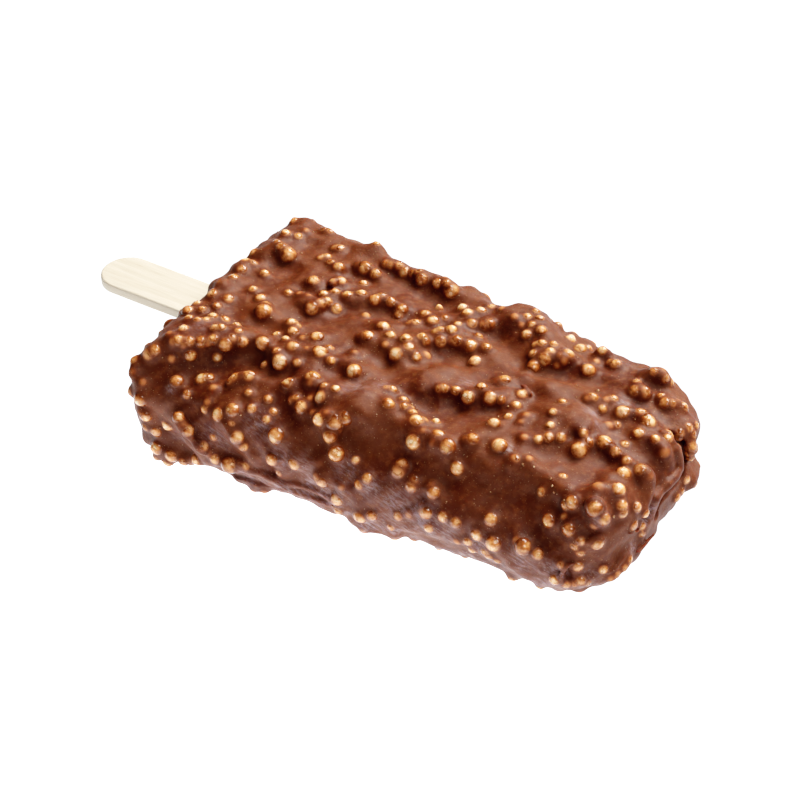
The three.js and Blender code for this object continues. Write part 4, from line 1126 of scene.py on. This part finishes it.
def cereal():
    k = Nodes("puffed_cereal")
    film = k.attribute("film")
    tint = k.attribute("tint")
    spot = k.noise(0.5, 3.0, 0.6)
    shifted = k.math("ADD", film, k.math("MULTIPLY", k.math("SUBTRACT", spot, 0.5), 0.3))
    shifted = k.math("ADD", shifted, k.math("MULTIPLY", tint, 0.05))
    colour = k.ramp(shifted, FILM_COLOURS)
    k.put(k.bsdf.inputs["Base Color"], colour)
    k.put(k.bsdf.inputs["Roughness"], k.span(spot, 0.3, 0.7, 0.11, 0.24))
    k.bsdf.inputs["Specular IOR Level"].default_value = 0.5
    k.put(k.bsdf.inputs["Subsurface Weight"], k.span(film, 0.15, 0.6, 0.8, 0.2))
    k.bsdf.inputs["Subsurface Radius"].default_value = (1.0, 0.7, 0.42)
    k.bsdf.inputs["Subsurface Scale"].default_value = 0.0007
    n = k.bump(k.noise(0.42, 2.0, 0.6), 0.07, 0.6)
    k.put(k.bsdf.inputs["Normal"], n)
    return k.m


def crumb():
    k = Nodes("cereal_crumb")
    spot = k.noise(0.6, 2.0)
    k.put(k.bsdf.inputs["Base Color"], k.mix(k.span(spot, 0.35, 0.65), (0.56, 0.36, 0.20), (0.30, 0.13, 0.06)))
    k.bsdf.inputs["Roughness"].default_value = 0.4
    k.put(k.bsdf.inputs["Normal"], k.bump(k.noise(0.12, 2.0), 0.02, 0.5))
    return k.m


def wood():
    k = Nodes("pale_birch")
    at = k.t.nodes.new("ShaderNodeMapping")
    k.put(at.inputs["Vector"], k.place())
    at.inputs["Scale"].default_value = (0.035, 1.0, 1.0)
    at = at.outputs["Vector"]
    fibre = k.noise(0.16, 3.0, 0.6, at)
    band = k.noise(1.3, 2.0, 0.5, at, 0.3)
    pore = k.span(k.noise(0.22, 2.0, 0.6, at), 0.66, 0.74)
    colour = k.mix(k.span(band, 0.35, 0.65), (0.62, 0.535, 0.41), (0.68, 0.60, 0.476))
    colour = k.mix(k.math("MULTIPLY", k.span(fibre, 0.45, 0.75), 0.5), colour, (0.53, 0.42, 0.29))
    colour = k.mix(k.math("MULTIPLY", pore, 0.45), colour, (0.47, 0.34, 0.215))
    k.put(k.bsdf.inputs["Base Color"], colour)
    k.bsdf.inputs["Roughness"].default_value = 0.62
    k.put(k.bsdf.inputs["Normal"], k.bump(fibre, 0.05, 0.5))
    return k.m


FLOOR_GLOW, NEAR_GLOW = 1.75, 2.2    # a light table's glow, and how much more it has beside the bar's near long side


def paper():
    k = Nodes("pale_floor")
    tone = k.noise(40.0, 2.0)
    k.put(k.bsdf.inputs["Base Color"], k.mix(tone, (0.12, 0.122, 0.126), (0.13, 0.132, 0.136)))
    k.bsdf.inputs["Roughness"].default_value = 0.9
    k.bsdf.inputs["Specular IOR Level"].default_value = 0.1
    k.bsdf.inputs["Emission Color"].default_value = (0.94, 0.965, 1.0, 1.0)
    at = k.place()
    spot = k.t.nodes.new("ShaderNodeVectorMath")
    spot.operation = "MULTIPLY_ADD"
    k.put(spot.inputs[0], at)
    spot.inputs[1].default_value = (1 / 0.075, 1 / 0.042, 0.0)
    spot.inputs[2].default_value = (-0.005 / 0.075, 0.045 / 0.042, 0.0)
    reach = k.t.nodes.new("ShaderNodeVectorMath")
    reach.operation = "LENGTH"
    k.put(reach.inputs[0], spot.outputs["Vector"])
    near = k.math("POWER", math.exp(-1), k.math("POWER", reach.outputs["Value"], 2.0))
    forward = k.t.nodes.new("ShaderNodeVectorMath")
    forward.operation = "DOT_PRODUCT"
    k.put(forward.inputs[0], at)
    forward.inputs[1].default_value = (-0.514, 0.858, 0.0)
    lit = k.span(forward.outputs["Value"], -0.42, -0.1, 0.5, 1.0)    # the lamps weaken away in front of the bar
    k.put(k.bsdf.inputs["Emission Strength"], k.math("MULTIPLY", lit, k.math("MULTIPLY_ADD", near, NEAR_GLOW, FLOOR_GLOW)))
    return k.m


coat.data.materials.append(chocolate())
puffs.data.materials.append(cereal())
crumbs.data.materials.append(crumb())
stick.data.materials.append(wood())

for piece in (coat, puffs, crumbs, stick):
    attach(piece, "root")
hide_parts("coated_bar")
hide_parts("stick")

# ------------------------------------------------------------------ floor, light, camera
me = bpy.data.meshes.new("floor")
me.from_pydata([(-3, -3, 0), (3, -3, 0), (3, 3, 0), (-3, 3, 0)], [], [(0, 1, 2, 3)])
floor = bpy.data.objects.new("floor", me)
bpy.context.scene.collection.objects.link(floor)
floor.data.materials.append(paper())
floor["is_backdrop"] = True

middle = Vector((0.012, 0.0, 0.01))


def soft_light(name, azimuth, elevation, distance, size, power, colour=(1, 1, 1)):
    """An area light; azimuth is where it stands, from +X towards +Y."""
    a, e = math.radians(azimuth), math.radians(elevation)
    data = bpy.data.lights.new(name, "AREA")
    data.shape = "DISK"
    data.size = size
    data.energy = power
    data.color = colour
    ob = bpy.data.objects.new(name, data)
    ob.location = middle + Vector((math.cos(a) * math.cos(e), math.sin(a) * math.cos(e), math.sin(e))) * distance
    ob.rotation_euler = (ob.location - middle).to_track_quat("Z", "Y").to_euler()
    bpy.context.scene.collection.objects.link(ob)
    return ob


soft_light("key", 78, 48, 0.9, 0.75, 25.5, (1.0, 0.975, 0.93))
soft_light("fill", -32, 51, 0.9, 0.35, 4.8, (1.0, 0.98, 0.95))
WORLD_COLOUR, WORLD_STRENGTH = (0.95, 0.97, 1.0, 1.0), 0.06
TOE, SHOULDER_AT, SHOULDER_SPAN = 0.045, 0.3, 0.95
TONE_AT = (0.0, 2.5, 0.01, 0.02, 0.03, 0.04, 0.055, 0.075, 0.1, 0.125, 0.15, 0.2, 0.3, 0.4, 0.5, 0.6, 0.75, 0.9, 1.1, 1.3, 1.6, 2.0)

world = bpy.data.worlds.new("studio")
world.use_nodes = True
world.node_tree.nodes["Background"].inputs["Color"].default_value = WORLD_COLOUR
world.node_tree.nodes["Background"].inputs["Strength"].default_value = WORLD_STRENGTH
bpy.context.scene.world = world
bpy.context.scene.view_settings.view_transform = "Standard"
look = bpy.context.scene.view_settings
look.look = "None"
look.use_curve_mapping = True     # a soft toe and a soft shoulder, as in a print
look.curve_mapping.use_clip = False
for each in (0, 1, 2):
    look.curve_mapping.curves[each].points[1].location = (TONE_AT[1], TONE_AT[1])
blue = look.curve_mapping.curves[2]     # the deepest shadows keep a little blue
blue.points[0].location = (0.0, 0.011)
blue.points.new(0.012, 0.0135)
blue.points.new(0.03, 0.03)
for point in blue.points:
    point.handle_type = "VECTOR"
curve = look.curve_mapping.curves[3]
for k, v in enumerate(TONE_AT):
    y = v if v < SHOULDER_AT else SHOULDER_AT + SHOULDER_SPAN * (1 - math.exp((SHOULDER_AT - v) / SHOULDER_SPAN))
    y -= TOE * (1 - math.exp(-v / TOE))
    if k < 2:
        curve.points[k].location = (v, y)
    else:
        curve.points.new(v, y)
for point in curve.points:
    point.handle_type = "VECTOR"
look.curve_mapping.extend = "EXTRAPOLATED"
look.curve_mapping.update()

right = Vector((0.85637705, 0.51634001, 0.00336714))
up = Vector((-0.32632535, 0.53615104, 0.77849459))
forward = Vector((-0.40016261, 0.66778368, -0.62764228))
camera_data = bpy.data.cameras.new("camera")
camera_data.lens, camera_data.sensor_width = 90.0, 36.0
camera_data.shift_x, camera_data.shift_y = -27.55 / 800, 3.53 / 800
camera_data.clip_start, camera_data.clip_end = 0.02, 20.0
camera = bpy.data.objects.new("camera", camera_data)
turn = Matrix((right, up, -forward)).transposed().to_4x4()
camera.matrix_world = Matrix.Translation(Vector((CAMERA_AT + OFFSET) * 0.001)) @ turn
bpy.context.scene.collection.objects.link(camera)
bpy.context.scene.camera = camera

low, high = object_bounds()
